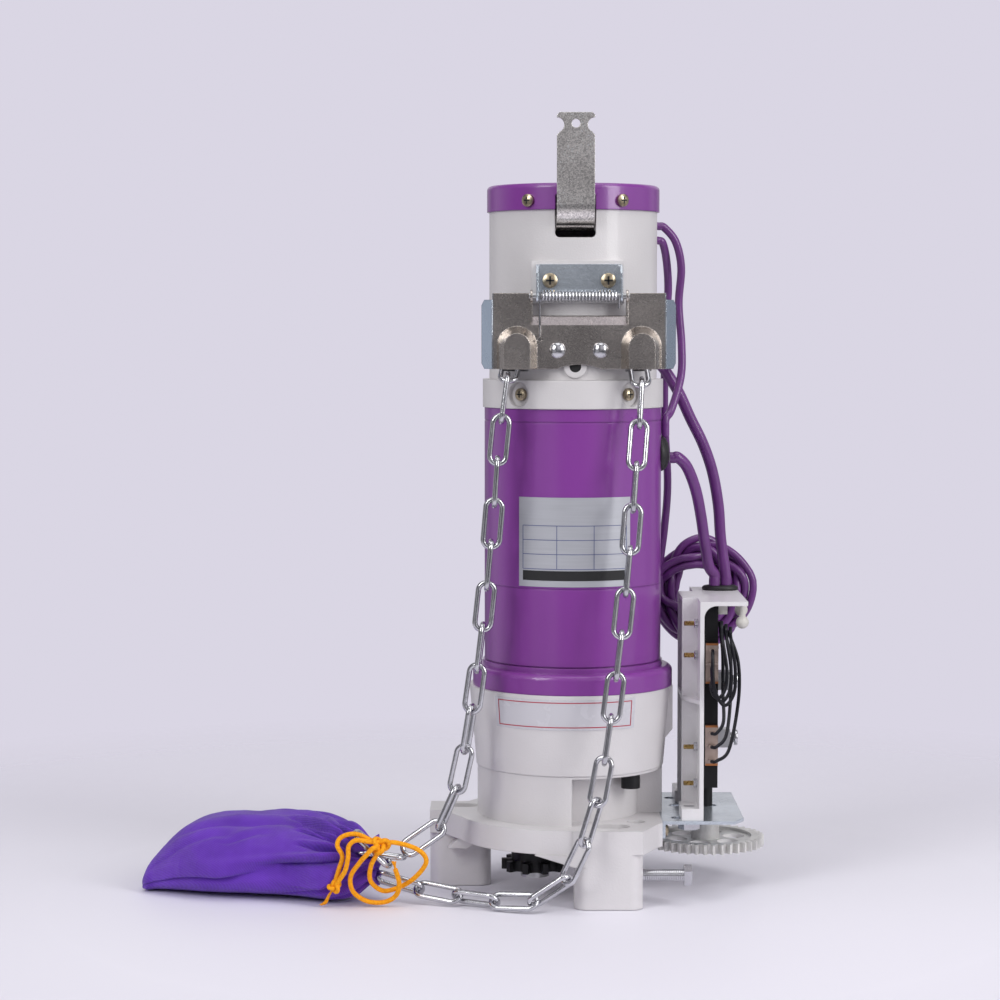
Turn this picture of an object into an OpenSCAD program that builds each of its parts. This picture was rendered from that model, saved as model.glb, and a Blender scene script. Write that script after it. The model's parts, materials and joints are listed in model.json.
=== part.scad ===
// Roller-door operator: a brake motor with a hand-chain head on a two-footed
// reduction case, a limit-switch unit beside it, and the chain in its bag.
// Origin: the output shaft's axis on the feet's seating plane. +Z is up, +X
// points to the limit unit, and -Y is the side with the chain guide plate.

/* [Main axis] */
// Sideways offset of the motor's axis from the output shaft
axis_x = 26.5; // [25.5:0.5:27.5]
// Rearward offset of the motor's axis from the output shaft
axis_y = 21.5; // [20.5:0.5:22.5]

/* [Base casting] */
// Height of the flange's underside over the feet's seats
flange_z = 37.5; // [36:0.5:39]
// Thickness of the flange
flange_t = 16.5; // [15:0.5:18]
// Radius of the flange's round part
flange_r = 80; // [79:0.5:81]
// Depth of the flange's flat front face from the motor's axis
flange_front = 79; // [78:0.5:79.5]
// Distance of the flange's flat right side from the motor's axis
side_x = 61; // [60:0.5:62]
// Height of the neck over the flange
neck_h = 34.6; // [33:0.2:36]
// Radius of the neck
neck_r = 65; // [64:0.5:66]
// Offset of the neck and the reduction case to the left of the motor's axis
neck_off = 1.8; // [1:0.2:2.4]
// Depth of the screw pocket in the neck's front
pocket_deep = 17; // [14:1:19]
// Spacing of the mounting holes, measured through the output shaft
foot_pcd = 132; // [130:1:134]
// Angle of the line through the mounting holes
foot_angle = 38.5; // [38:0.5:39]
// Width of the right foot
foot_w = 46.8; // [45:0.2:48]
// Width of the left foot
left_foot_w = 43; // [42:0.5:44]
// Depth of the feet
foot_deep = 36; // [34:1:38]
// Corner radius of the feet
foot_round = 9; // [7:0.5:11]
// Diameter of the mounting holes
foot_hole_d = 10.5; // [9:0.5:11]
// Length of the slots over the mounting holes
slot_l = 25; // [24:0.5:26]
// Width of the slots over the mounting holes
slot_w = 15; // [14:0.5:16]
// Height of the bolt seats in the feet
seat_h = 14; // [12:1:16]

/* [Reduction case] */
// Height of the reduction case
case_h = 56; // [55:0.5:57]
// How much wider the case is under the shield ring than at the neck
case_flare = 4.8; // [4.4:0.2:5.2]
// Radius of the case at the neck
case_low_r = 65.8; // [65.2:0.2:66.4]
// Wall of the reduction case
case_wall = 5.5; // [5:0.5:6]
// Height of the shield ring
shield_h = 14; // [13:0.5:15]
// How far the shield ring stands back from the case's top edge
shield_in = 0.6; // [0.4:0.2:1.4]
// Edge radius of the shield ring
shield_round = 4; // [3:0.5:5]
// Height of the collar on the shield ring
collar_h = 4.5; // [4:0.5:5]

/* [Motor] */
// Radius of the motor tube
tube_r = 61.8; // [61:0.2:62.4]
// Height of the motor tube
tube_h = 176; // [170:1:182]
// Wall of the motor tube
tube_wall = 4.5; // [4:0.5:5]
// Height of the end bell
bell_h = 19.5; // [19:0.5:21]
// Lip of the end bell over the motor tube
bell_lip = 1.2; // [0.8:0.2:1.8]
// Diameter of the motor shaft
shaft_d = 15; // [14:1:16]
// Length of the stator's core
core_l = 84; // [78:2:90]
// Radius of the rotor as a share of the motor tube's
rotor_share = 0.534; // [0.5:0.002:0.54]
// Air gap
air_gap = 0.4; // [0.3:0.1:0.6]

/* [Chain head] */
// Radius of the chain head's housing
head_r = 58.4; // [58:0.2:58.8]
// Height of the chain head's housing
head_h = 115.5; // [114:0.5:117]
// Wall of the chain head's housing
head_wall = 5; // [4:0.5:5.5]
// Height of the cap
cap_h = 18; // [17:0.5:19]
// Radius of the cap
cap_r = 60; // [59.8:0.2:60.6]
// Width of the lever's slot
lever_slot_w = 27.6; // [27:0.2:28.4]
// Pitch radius of the hand-chain wheel
wheel_r = 42; // [41:0.5:43]

/* [Release lever] */
// Width of the lever
lever_w = 25.6; // [25:0.2:26]
// Thickness of the lever
lever_t = 3; // [2.5:0.5:3]
// Height of the lever's tip over the end bell's top
lever_up = 180; // [175:0.5:185]
// Gap between the lever and the housing
lever_gap = 6.4; // [6:0.2:7]
// Bend radius of the lever
lever_bend = 12; // [11:0.5:12.5]

/* [Chain guide] */
// Width of the guide plate's flat
plate_w = 117.4; // [116:0.2:118.4]
// Height of the guide plate
plate_h = 51.3; // [50:0.1:52]
// Thickness of the guide plate and its bracket
sheet_t = 1.5; // [1.2:0.1:1.8]
// Height of the guide plate's top over the end bell's top
plate_up = 59.1; // [58:0.1:60]
// Width of the notch in the guide plate
notch_w = 66; // [65:0.5:67]
// Diameter of the hinge pin
pin_d = 4; // [3.5:0.5:4]
// Width of a chain hood
hood_w = 24.2; // [23:0.2:25]
// Height of a chain hood
hood_h = 27.4; // [26:0.2:28]
// Depth of a chain hood
hood_deep = 11.5; // [11:0.5:12]
// Wire of the torsion spring
spring_wire = 1.5; // [1.3:0.1:1.6]
// Outer diameter of the torsion spring
spring_d = 8.3; // [8:0.1:8.5]
// Turns of the torsion spring
spring_turns = 24; // [21:1:25]

/* [Hand chain] */
// Wire of a chain link
wire_d = 3.6; // [3.4:0.1:3.8]
// Outer length of a chain link
link_l = 36.4; // [36:0.2:36.8]
// Outer width of a chain link
link_w = 14.7; // [14.3:0.1:15]

/* [Output] */
// Diameter of the output shaft
out_d = 20; // [19:0.5:20]
// Pitch of the drive chain
chain_pitch = 12.7; // [12.5:0.1:12.9]
// Roller diameter of the drive chain
roller_d = 8.5; // [8.3:0.1:8.7]
// Teeth of the sprocket
sprocket_z = 10; // [9:1:11]
// Width of the sprocket's teeth
sprocket_t = 7.2; // [6.8:0.2:7.6]
// Height of the sprocket's middle over the feet's seats
sprocket_z0 = 20.4; // [19.4:0.2:21.4]

/* [Limit unit] */
// Distance of the limit spindle from the flange's flat side
spindle_reach = 34.5; // [34:0.5:35]
// Set-back of the limit spindle from the motor's axis
spindle_back = 18.5; // [18:0.5:19]
// Module of the limit gear
limit_m = 1.9; // [1.88:0.01:1.92]
// Teeth of the limit gear
limit_z = 42; // [41:1:42]
// Width of the limit gear
limit_t = 6.8; // [6.4:0.2:7.2]
// Height of the limit gear's underside over the feet's seats
limit_z0 = 26.3; // [25.8:0.1:26.8]
// Diameter of the spindle
spindle_d = 6; // [5.5:0.5:6]
// Lead of the spindle's thread
lead = 2; // [1.5:0.5:2]
// Thickness of the mounting angle
angle_t = 2.4; // [2:0.2:2.6]
// Reach of the mounting angle from the flange
angle_w = 57.5; // [56.5:0.5:58.5]
// Depth of the mounting angle
angle_deep = 116; // [114:1:118]
// Height of the limit frame over the angle
frame_h = 152.1; // [150:0.1:153]
// Wall of the limit frame
frame_wall = 3; // [2.8:0.1:3.2]
// Width of the limit frame's top
frame_top_w = 33; // [32:0.5:34]
// Width of a micro switch
switch_w = 10.3; // [10:0.1:10.5]
// Length of a micro switch
switch_l = 27.8; // [27:0.2:28.4]
// Depth of a micro switch
switch_deep = 16; // [15:0.5:17]

/* [Chain bag] */
// Length of the bag
bag_l = 166; // [150:2:180]
// Width of the bag
bag_w = 104; // [90:2:110]
// Height of the bag
bag_h = 52; // [46:1:56]

/* [Hidden] */
$fn = 120;
// Overrun of the cuts, and the clearances
over = 1;
fit = 0.05;
play = 0.3;
touch = 0.02;

// Heights
flange_top = flange_z + flange_t;
base_top = flange_top + neck_h;
case_top = base_top + case_h;
shield_top = case_top + shield_h;
tube_z = shield_top + collar_h;
bell_z = tube_z + tube_h;
head_z = bell_z + bell_h;
cap_z = head_z + head_h;

module at_axis(z = 0) { translate([axis_x, axis_y, z]) children(); }
// A polar copy about the motor's axis, from the front, clockwise seen from above
module around(angles, r, z) {
  at_axis(z) for (a = angles) rotate([0, 0, a - 90]) translate([r, 0, 0]) children();
}
module ring(r_out, r_in, h) {
  difference() {
    cylinder(r = r_out, h = h);
    translate([0, 0, -over]) cylinder(r = r_in, h = h + 2 * over);
  }
}
// A disc with a rounded upper edge
module round_disc(r, h, round) {
  rotate_extrude() union() {
    square([r, h - round]);
    square([r - round, h]);
    translate([r - round, h - round]) circle(r = round, $fn = 48);
  }
}
module slot_cut(l, w, h) {
  translate([-(l - w) / 2, -w / 2, 0]) cube([l - w, w, h]);
  for (s = [-1, 1]) translate([s * (l - w) / 2, 0, 0]) cylinder(d = w, h = h);
}

case_top_r = case_low_r + case_flare;
shield_r = case_top_r - shield_in;

// Base casting
foot_x = foot_pcd / 2 * cos(foot_angle);
foot_y = foot_pcd / 2 * sin(foot_angle);
front_out = 2;
front_y = axis_y - flange_front - front_out;
foot_off_x = -2.2;
foot_front = front_y;
left_front = axis_y;
bear_r = 21;
bear_t = 12;
pocket_top_t = 2;
case_screw_d = 13;
lobe_corner_x = 46;
lobe_side_y = 46;
lobe_tip_x = 100.5;
gusset_l = 27;
heel_in = 5;
heel_deep = 42;
gusset_h = 8.5;
module foot(w, deep, h) {
  r = foot_round;
  translate([r - w / 2, 0, 0]) cube([w - 2 * r, deep, h]);
  translate([-w / 2, r, 0]) cube([w, deep - 2 * r, h]);
  for (x = [r - w / 2, w / 2 - r], y = [r, deep - r]) translate([x, y, 0]) cylinder(r = r, h = h, $fn = 48);
}
module flange_outline() {
  cx = axis_x - neck_off;
  right = axis_x + side_x;
  intersection() {
    translate([cx, axis_y]) circle(r = flange_r);
    translate([cx - flange_r, front_y]) square([flange_r + neck_off + side_x, 2 * flange_r]);
  }
  // Front right lobe over the right foot
  polygon([[cx, front_y], [axis_x + lobe_corner_x, front_y], [right, axis_y - lobe_side_y],
    [right, axis_y], [cx, axis_y]]);
  // Left lobe over the left foot
  polygon([[axis_x - lobe_tip_x, left_front], [axis_x - lobe_tip_x + foot_round, left_front],
    [cx - flange_r * cos(foot_angle), axis_y - flange_r * sin(foot_angle)], [cx, axis_y],
    [cx, axis_y + foot_deep], [axis_x - lobe_tip_x, left_front + foot_deep]]);
}
module base_casting() color("gainsboro") difference() {
  union() {
    translate([0, 0, flange_z]) linear_extrude(flange_t) flange_outline();
    translate([axis_x - neck_off, axis_y, flange_top]) cylinder(r = neck_r, h = neck_h);
    translate([foot_x + foot_off_x, foot_front, 0]) foot(foot_w, foot_deep, flange_top);
    translate([axis_x - lobe_tip_x + left_foot_w / 2, left_front, 0])
      foot(left_foot_w, foot_deep, flange_top);
    // Heel behind the right foot, clear of the drive chain
    translate([foot_x + foot_off_x + heel_in / 2, foot_front + foot_deep - 2 * foot_round, 0])
      foot(foot_w - heel_in, heel_deep + 2 * foot_round, flange_top);
    // Gusset beside the right foot
    translate([foot_x + foot_off_x - foot_w / 2 + foot_round, foot_front, flange_z]) rotate([90, 0, 180])
      linear_extrude(foot_deep / 2) polygon([[0, 0], [gusset_l + foot_round, 0], [foot_round, -gusset_h],
        [0, -gusset_h]]);
    // Gusset beside the left foot
    translate([axis_x - lobe_tip_x + left_foot_w / 2, left_front + foot_round, flange_z])
      rotate([90, 0, 0]) linear_extrude(foot_round + gusset_l / 2)
        polygon([[0, 0], [-foot_round, -gusset_h], [foot_round / 2, -gusset_h], [gusset_h + foot_round, 0]]);
  }
  // Screw pocket in the neck's front right quarter
  translate([axis_x - neck_off, axis_y, flange_top]) intersection() {
    difference() {
      cylinder(r = neck_r + over, h = neck_h - pocket_top_t);
      translate([0, 0, -over]) cylinder(r = neck_r - pocket_deep, h = neck_h + 2 * over);
    }
    translate([0, -neck_r - over, 0]) cube([neck_r + over, neck_r - pocket_deep / 2, neck_h]);
  }
  // Mounting holes under long slots
  for (s = [-1, 1]) {
    translate([s * foot_x, -s * foot_y, -over]) cylinder(d = foot_hole_d, h = flange_top);
    translate([s * foot_x, -s * foot_y, seat_h]) slot_cut(slot_l, slot_w, flange_top);
  }
  // Round hole in the right lobe
  translate([axis_x + lobe_corner_x - lobe_hole_in, axis_y - lobe_side_y + lobe_hole_in / 2,
    flange_z - over])
    cylinder(d = lobe_hole_d, h = flange_t + 2 * over);
  // Bearing bore, and the lay shaft's lower seat
  translate([0, 0, flange_z - gusset_h - over]) cylinder(r = bear_r, h = base_top);
  translate([lay_x, lay_y, base_top - lay_seat]) cylinder(d = lay_d + 2 * fit, h = lay_seat + over);
  // Tapped hole of the tension bolt
  translate([foot_x, foot_bolt_y, sprocket_z0]) rotate([0, 90, 0]) cylinder(d = bolt_d, h = foot_w);
}
lobe_hole_d = 12.6;
lobe_hole_in = 3;
foot_bolt_y = foot_front + foot_deep / 2;

// Hexagon bolt that stands out of the right foot
bolt_d = 8;
bolt_out = 28.4;
bolt_af = 13;
bolt_head_t = 5.3;
bolt_in = 8.4;
thread_pitch = 1.25;
thread_deep = 0.6;
thread_gap = 1;
module hex_head(af, t) { cylinder(d = af / cos(30), h = t, $fn = 6); }
module tension_bolt() color("silver") {
  x = foot_x + foot_off_x + foot_w / 2;
  translate([x - bolt_in, foot_bolt_y, sprocket_z0]) rotate([0, 90, 0]) {
    cylinder(d = bolt_d, h = bolt_in + thread_gap);
    // Rings stand for the thread
    rings = floor((bolt_out - 2 * thread_gap) / thread_pitch);
    translate([0, 0, bolt_in + thread_gap]) rotate_extrude()
      polygon(concat([[0, -touch], [bolt_d / 2, -touch]],
      [for (i = [0 : rings - 1]) each [[bolt_d / 2, i * thread_pitch], [bolt_d / 2 - thread_deep,
        (i + 0.5) * thread_pitch]]],
      [[bolt_d / 2, rings * thread_pitch], [bolt_d / 2, bolt_out - thread_gap + touch],
      [0, bolt_out - thread_gap + touch]]));
    translate([0, 0, bolt_in + bolt_out]) hex_head(bolt_af, bolt_head_t);
  }
}

// Reduction case and its screw
lug_w = 30;
lug_low = 25.5;
lug_cut = 7;
pinion_z = 12;
lay_z = 44;
lay_m = 1;
out_pinion_z = 12;
out_gear_z = 40;
out_m = 1.25;
mesh_share = 0.02;
lay_d = 8;
lay_seat = 6;
a1 = lay_m * (pinion_z + lay_z) / 2 * (1 + mesh_share / 4);
a2 = out_m * (out_pinion_z + out_gear_z) / 2 * (1 + mesh_share / 4);
axis_gap = norm([axis_x, axis_y]);
axis_dir = atan2(axis_y, axis_x);
lay_dir = axis_dir + acos((a2 * a2 + axis_gap * axis_gap - a1 * a1) / (2 * a2 * axis_gap));
lay_x = a2 * cos(lay_dir);
lay_y = a2 * sin(lay_dir);
lay_to_motor = atan2(axis_y - lay_y, axis_x - lay_x);
case_roof = 7;
roof_z = case_top - case_roof;
lay_gear_down = 20;
lay_gear_z = roof_z - lay_gear_down;
lay_gear_t = 10;
out_gear_up = 7;
out_gear_z0 = base_top + out_gear_up;
out_gear_t = 13;
module reduction_case() color("gainsboro") difference() {
  union() {
    translate([axis_x - neck_off, axis_y, base_top]) cylinder(r1 = case_low_r, r2 = case_top_r, h = case_h);
    // Lug on the right
    translate([axis_x, axis_y - lug_w / 2, base_top + lug_low]) cube([case_top_r - neck_off / 2, lug_w,
      case_h - lug_low]);
    translate([axis_x, axis_y - lug_w / 2, base_top + lug_low]) rotate([-90, 0, 0]) linear_extrude(lug_w)
      polygon([[0, 0], [case_top_r - neck_off / 2, 0], [case_low_r - neck_off, lug_cut], [0, lug_cut]]);
  }
  translate([axis_x - neck_off, axis_y, base_top - over]) cylinder(r = case_low_r - case_wall,
    h = case_h - case_roof + over);
  at_axis(roof_z - over) cylinder(d = shaft_d + 2 * play, h = case_roof + 2 * over);
  translate([lay_x, lay_y, roof_z - over]) cylinder(d = lay_d + 2 * fit, h = case_roof - lay_top_skin
    + over);
}
lay_top_skin = 2;
screw_angle = 44;
module case_screw() color("black") around([screw_angle], neck_r - pocket_deep / 2, base_top - pocket_top_t)
  translate([0, 0, -case_screw_h]) difference() {
    cylinder(d = case_screw_d, h = case_screw_h);
    translate([0, 0, -over]) cylinder(d = case_screw_d / 2, h = case_screw_h / 2 + over, $fn = 6);
  }
case_screw_h = 9.6;

// Shield ring, motor tube, stator, end bell
module shield_ring() color("purple") difference() {
  union() {
    at_axis(case_top) round_disc(shield_r, shield_h, shield_round);
    at_axis(shield_top - over) cylinder(r = tube_r + collar_lip, h = collar_h + over - collar_groove);
    at_axis(shield_top) cylinder(r = tube_r - collar_lip, h = collar_h);
  }
  at_axis(case_top - over) cylinder(d = shaft_d + 2 * play, h = shield_h + collar_h + 2 * over);
  at_axis(shield_top + collar_h - motor_bear_t) cylinder(r = motor_bear_r, h = motor_bear_t + over);
}
collar_lip = 1;
collar_groove = 0.8;
motor_bear_r = 17.5;
motor_bear_t = 11;
bell_r = tube_r + bell_lip;
rotor_r = rotor_share * tube_r;
core_z = tube_z + (tube_h - core_l) / 2;
rubber_down = 32.8;
rubber_z = bell_z - rubber_down;
rubber_d = 25;
cable_hole_d = 12;
groove_w = 0.8;
groove_deep = 0.4;
upper_groove = 9.5;
lower_groove = 123;
module motor_tube() color("purple") difference() {
  at_axis(tube_z) ring(tube_r, tube_r - tube_wall, tube_h);
  // Fine turned grooves
  for (g = [upper_groove, lower_groove]) at_axis(bell_z - g) ring(tube_r + over, tube_r - groove_deep,
    groove_w);
  // Cable hole
  at_axis(rubber_z) rotate([0, 90, 0]) cylinder(d = cable_hole_d, h = tube_r + over);
}
module stator_core() color("dimgray") at_axis(core_z) difference() {
  cylinder(r = tube_r - tube_wall, h = core_l);
  translate([0, 0, -over]) cylinder(r = rotor_r + air_gap, h = core_l + 2 * over);
  for (i = [0 : stator_slots - 1]) rotate([0, 0, i * 360 / stator_slots])
    translate([rotor_r + air_gap + slot_deep, 0, -over]) cylinder(d = slot_deep, h = core_l + 2 * over,
      $fn = 24);
}
stator_slots = 12;
slot_share = 0.33;
slot_deep = slot_share * (tube_r - tube_wall - rotor_r);
winding_t = 18;
module stator_winding() color("peru") for (z = [core_z - winding_t, core_z + core_l])
  at_axis(z) ring(rotor_r + air_gap + 2 * slot_deep, rotor_r + slot_deep / 2, winding_t);
spot_d = 17;
spot_deep = 4.5;
bell_screw_d = 8.5;
bell_angles = [-38, 38, 142, 218];
module end_bell() color("gainsboro") difference() {
  union() {
    at_axis(bell_z) cylinder(r = bell_r, h = bell_h);
    at_axis(bell_z - bell_spigot) cylinder(r = tube_r - tube_wall - play, h = bell_spigot + over);
  }
  at_axis(bell_z - bell_spigot - over) cylinder(r = motor_bear_r, h = motor_bear_t + over);
  at_axis(bell_z - over) cylinder(d = shaft_d + 2 * play, h = bell_h + 2 * over);
  // Spot faces of the screws
  around(bell_angles, bell_r - spot_deep, bell_z + bell_h / 2) rotate([0, 90, 0]) cylinder(d = spot_d,
    h = spot_deep + over);
}
bell_spigot = 6;
// A pan head with a cross recess, its axis along X
module pan_head(d, t) {
  rotate([0, 90, 0]) difference() {
    intersection() {
      cylinder(d = d, h = t);
      translate([0, 0, t - d]) sphere(r = d, $fn = 64);
    }
    for (a = [0, 90]) rotate([0, 0, a]) translate([-d * cross_l_share / 2, -d * cross_w_share / 2, t / 2])
      cube([d * cross_l_share, d * cross_w_share, t]);
  }
}
cross_l_share = 0.56;
cross_w_share = 0.13;
pan_t = 3.4;
module bell_screws() color("darkgoldenrod")
  around(bell_angles, bell_r - spot_deep, bell_z + bell_h / 2) pan_head(bell_screw_d, pan_t);
module motor_bearings() color("lightslategray") for (z = [shield_top + collar_h - motor_bear_t,
  bell_z - bell_spigot])
  at_axis(z) ring(motor_bear_r, shaft_d / 2 + fit, motor_bear_t);

// Chain head
head_floor = 3;
window_w = 19;
window_h = 25;
window_up = 6;
window_z = head_z + window_up;
chain_wide = 0.5;
chain_x = wheel_r + chain_wide;
chain_shift = 1.5;
slot_down = 18.8;
slot_low_z = cap_z - slot_down;
slot_round = 3.2;
pad_w = 63;
pad_h = 29;
pad_up = 52;
pad_z = head_z + pad_up;
boss_d = 16;
boss_up = 9.5;
boss_z = head_z + boss_up;
cable_low = 9;
cable_up = 19;
lug_t = 4;
lever_pin_in = 13.4;
lever_pin_y = axis_y - head_r + lever_pin_in;
lever_pin_up = 9.8;
lever_z = slot_low_z + lever_pin_up;
lever_pin_d = 5;
module chain_head() color("gainsboro") difference() {
  union() {
    difference() {
      union() {
        at_axis(head_z) cylinder(r = head_r, h = head_h + cap_in);
        // Flat pad behind the guide bracket
        translate([axis_x + chain_shift - pad_w / 2, axis_y - head_r - touch, pad_z])
          cube([pad_w, head_r - pad_w / 4, pad_h]);
        around([0], head_r - head_wall / 2, boss_z) rotate([0, 90, 0]) cylinder(d = boss_d,
          h = head_wall / 2 + boss_out);
      }
      at_axis(head_z + head_floor) cylinder(r = head_r - head_wall, h = head_h + cap_in);
    }
    // Lugs that carry the release lever's pin
    for (s = [-1, 1]) translate([axis_x + s * (lever_w / 2 + lug_t / 2 + play) - lug_t / 2,
      axis_y - head_r + head_wall / 2, lever_z - lever_pin_d])
      cube([lug_t, lever_pin_y - axis_y + head_r - head_wall / 2 + lever_pin_d, 2 * lever_pin_d]);
  }
  at_axis(head_z - over) cylinder(d = shaft_d + 2 * play, h = head_floor + 2 * over);
  // Windows through which the hand chain runs
  for (s = [-1, 1]) translate([axis_x + chain_shift + s * chain_x - window_w / 2, axis_y - head_r - over,
    window_z])
    cube([window_w, head_r, window_h]);
  // Slot of the release lever
  translate([axis_x - lever_slot_w / 2, axis_y - head_r - over, slot_low_z + slot_round])
    cube([lever_slot_w, 2 * head_wall + over, cap_z]);
  translate([axis_x - lever_slot_w / 2 + slot_round, axis_y - head_r - over, slot_low_z])
    cube([lever_slot_w - 2 * slot_round, 2 * head_wall + over, cap_z]);
  for (s = [-1, 1]) translate([axis_x + s * (lever_slot_w / 2 - slot_round),
    axis_y - head_r + 2 * head_wall, slot_low_z + slot_round])
    rotate([90, 0, 0]) cylinder(r = slot_round, h = 2 * head_wall + over);
  translate([axis_x - lever_pin_l / 2, lever_pin_y, lever_z]) rotate([0, 90, 0]) cylinder(d = lever_pin_d,
    h = lever_pin_l);
  around([0], head_r - 2 * head_wall, boss_z) rotate([0, 90, 0]) cylinder(d = boss_d / 2, h = 3 * head_wall);
  // Cable holes on the right
  for (z = [cable_low, cable_up]) around([90 + cable_turn], head_r - 2 * head_wall, cap_z - z)
    rotate([0, 90, 0])
    cylinder(d = thin_cable + 2 * play, h = 3 * head_wall);
  around([90 + 2 * cable_turn], head_r - 2 * head_wall, supply_z) rotate([0, 90, 0])
    cylinder(d = thick_cable + 2 * play, h = 3 * head_wall);
}
boss_out = 1.2;
cap_in = 9;
cable_turn = 12;
supply_up = 13;
supply_z = head_z + supply_up;
lever_pin_l = lever_w + 2 * lug_t + 2 * play;
module lever_pin() color("silver") translate([axis_x - lever_pin_l / 2, lever_pin_y, lever_z])
  rotate([0, 90, 0])
  cylinder(d = lever_pin_d, h = lever_pin_l);
magnet_up = 70;
magnet_z = head_z + magnet_up;
magnet_h = 24;
magnet_r = 48;
arm_t = 5;
disc_r = 42;
disc_t = 6;
brake_gap = 0.5;
module brake_magnet() color("saddlebrown") at_axis(magnet_z) difference() {
  union() {
    cylinder(r = magnet_r, h = magnet_h);
    // Arms that hold it in the housing
    intersection() {
      for (a = [45, 135, 225, 315]) rotate([0, 0, a]) translate([0, -arm_t, 0])
        cube([head_r, 2 * arm_t, arm_t]);
      cylinder(r = head_r - head_wall, h = arm_t);
    }
  }
  translate([0, 0, -over]) cylinder(d = shaft_d + 2 * arm_t, h = magnet_h + 2 * over);
}
module brake_armature() color("gray") at_axis(magnet_z - brake_gap - arm_t) ring(magnet_r - arm_t,
  shaft_d / 2 + arm_t, arm_t);
module brake_disc() color("darkslategray") at_axis(magnet_z - 2 * brake_gap - arm_t - disc_t)
  ring(disc_r, shaft_d / 2, disc_t);
groove_h = 18;
wheel_flange = 3.5;
wheel_z = window_z + window_h / 2 - groove_h / 2 - wheel_flange;
wheel_pockets = 5;
pocket_turn = 18;
wheel_pocket = 0.6;
module chain_wheel() color("dimgray") at_axis(wheel_z) difference() {
  // The core runs just clear of the lying link on each side
  wheel_core = wheel_r - link_w / 2 - play;
  union() {
    cylinder(r = wheel_r + wheel_flange, h = wheel_flange);
    cylinder(r = wheel_core, h = groove_h + 2 * wheel_flange);
    translate([0, 0, groove_h + wheel_flange]) cylinder(r = wheel_r + wheel_flange, h = wheel_flange);
  }
  translate([0, 0, -over]) cylinder(d = shaft_d, h = groove_h + 2 * wheel_flange + 2 * over);
  // Pockets for the lying links
  for (i = [0 : wheel_pockets - 1]) rotate([0, 0, pocket_turn + i * 360 / wheel_pockets])
    translate([wheel_core - wheel_pocket, -link_w / 2, wheel_flange + (groove_h - wire_d) / 2 - play])
      cube([link_w, link_w, wire_d + 2 * play]);
}
cap_t = 3.5;
cap_round = 3;
cap_gap = 0.2;
notch_half = 13.6;
notch_up = 10;
cap_screw_d = 8.5;
cap_angles = [-31.6, 31.6, 148.4, 211.6];
cap_screw_up = 6.3;
module cap() color("purple") difference() {
  at_axis(cap_z) round_disc(cap_r, cap_h, cap_round);
  at_axis(cap_z - over) cylinder(r = head_r + cap_gap, h = cap_in + over + cap_gap);
  at_axis(cap_z - over) cylinder(r = head_r - head_wall, h = cap_h - cap_t + over);
  translate([axis_x - notch_half, axis_y - cap_r - over, cap_z - over])
    cube([2 * notch_half, cap_r - head_r + head_wall + over, notch_up + over]);
}
module cap_screws() color("darkgoldenrod") around(cap_angles, cap_r, cap_z + cap_screw_up)
  pan_head(cap_screw_d, pan_t);

// Moving pieces of the motor
module rotor() color("gray") at_axis(core_z) ring(rotor_r, shaft_d / 2, core_l);
shaft_over = 4;
shaft_high = magnet_z + magnet_h + shaft_over;
shaft_low = lay_gear_z + lay_gear_t + shaft_over;
// Involute tooth outline
function inv(a) = tan(a) * 180 / PI - a;
function half_tooth(r, rp, rb, pa, z, back) =
  90 / z - back / rp * 90 / PI + inv(pa) - inv(acos(min(1, rb / max(r, rb))));
module gear_outline(z, m, pa, back) {
  rp = m * z / 2;
  rb = rp * cos(pa);
  ra = rp + m * (1 - mesh_share);
  rf = rp - 1.25 * m;
  radii = [rf, max(rb, rf + m / 10), rp, (rp + ra) / 2, ra];
  polygon([for (i = [0 : z - 1]) each concat(
    [for (k = [0 : 4]) let (r = radii[k], h = half_tooth(r, rp, rb, pa, z, back)) [r * cos(i * 360 / z
      - h), r * sin(i * 360 / z - h)]],
    [for (k = [4 : -1 : 0]) let (r = radii[k], h = half_tooth(r, rp, rb, pa, z, back)) [r
      * cos(i * 360 / z + h), r * sin(i * 360 / z + h)]])]);
}
drive_pa = 25;
backlash = 0.16;
// The motor shaft, with the first pinion cut on its lower end
module rotor_shaft() color("silver") {
  at_axis(shaft_low) cylinder(d = shaft_d, h = shaft_high - shaft_low);
  at_axis(lay_gear_z - 2 * play) rotate([0, 0, lay_to_motor + 180])
    linear_extrude(shaft_low - lay_gear_z + 2 * play + touch) gear_outline(pinion_z, lay_m, drive_pa,
      backlash);
}
module lay_gear() color("gray") translate([lay_x, lay_y, 0]) {
  translate([0, 0, lay_gear_z]) rotate([0, 0, lay_to_motor + 180 / lay_z]) linear_extrude(lay_gear_t)
    gear_outline(lay_z, lay_m, drive_pa, backlash);
  translate([0, 0, out_gear_z0]) rotate([0, 0, lay_dir + 180]) linear_extrude(lay_gear_z - out_gear_z0)
    gear_outline(out_pinion_z, out_m, drive_pa, backlash);
  translate([0, 0, base_top - lay_seat + play]) cylinder(d = lay_d, h = case_top - lay_top_skin - base_top
    + lay_seat - 2 * play);
}
out_low = 12;
module output_gear() color("gray") translate([0, 0, out_gear_z0]) difference() {
  rotate([0, 0, lay_dir + 180 / out_gear_z]) linear_extrude(out_gear_t) gear_outline(out_gear_z, out_m,
    drive_pa, backlash);
  translate([0, 0, -over]) cylinder(d = out_d, h = out_gear_t + 2 * over);
}
module output_shaft() color("silver") translate([0, 0, out_low]) cylinder(d = out_d,
  h = out_gear_z0 + out_gear_t - out_low);
module output_bearings() color("lightslategray") for (z = [flange_z + seal_t, base_top - bear_t])
  translate([0, 0, z]) ring(bear_r, out_d / 2 + fit, bear_t);
seal_t = 7;
module output_seal() color("black") translate([0, 0, flange_z]) ring(bear_r, out_d / 2 + fit,
  seal_t - touch);
hub_r = 16.5;
hub_h = 9;
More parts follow.
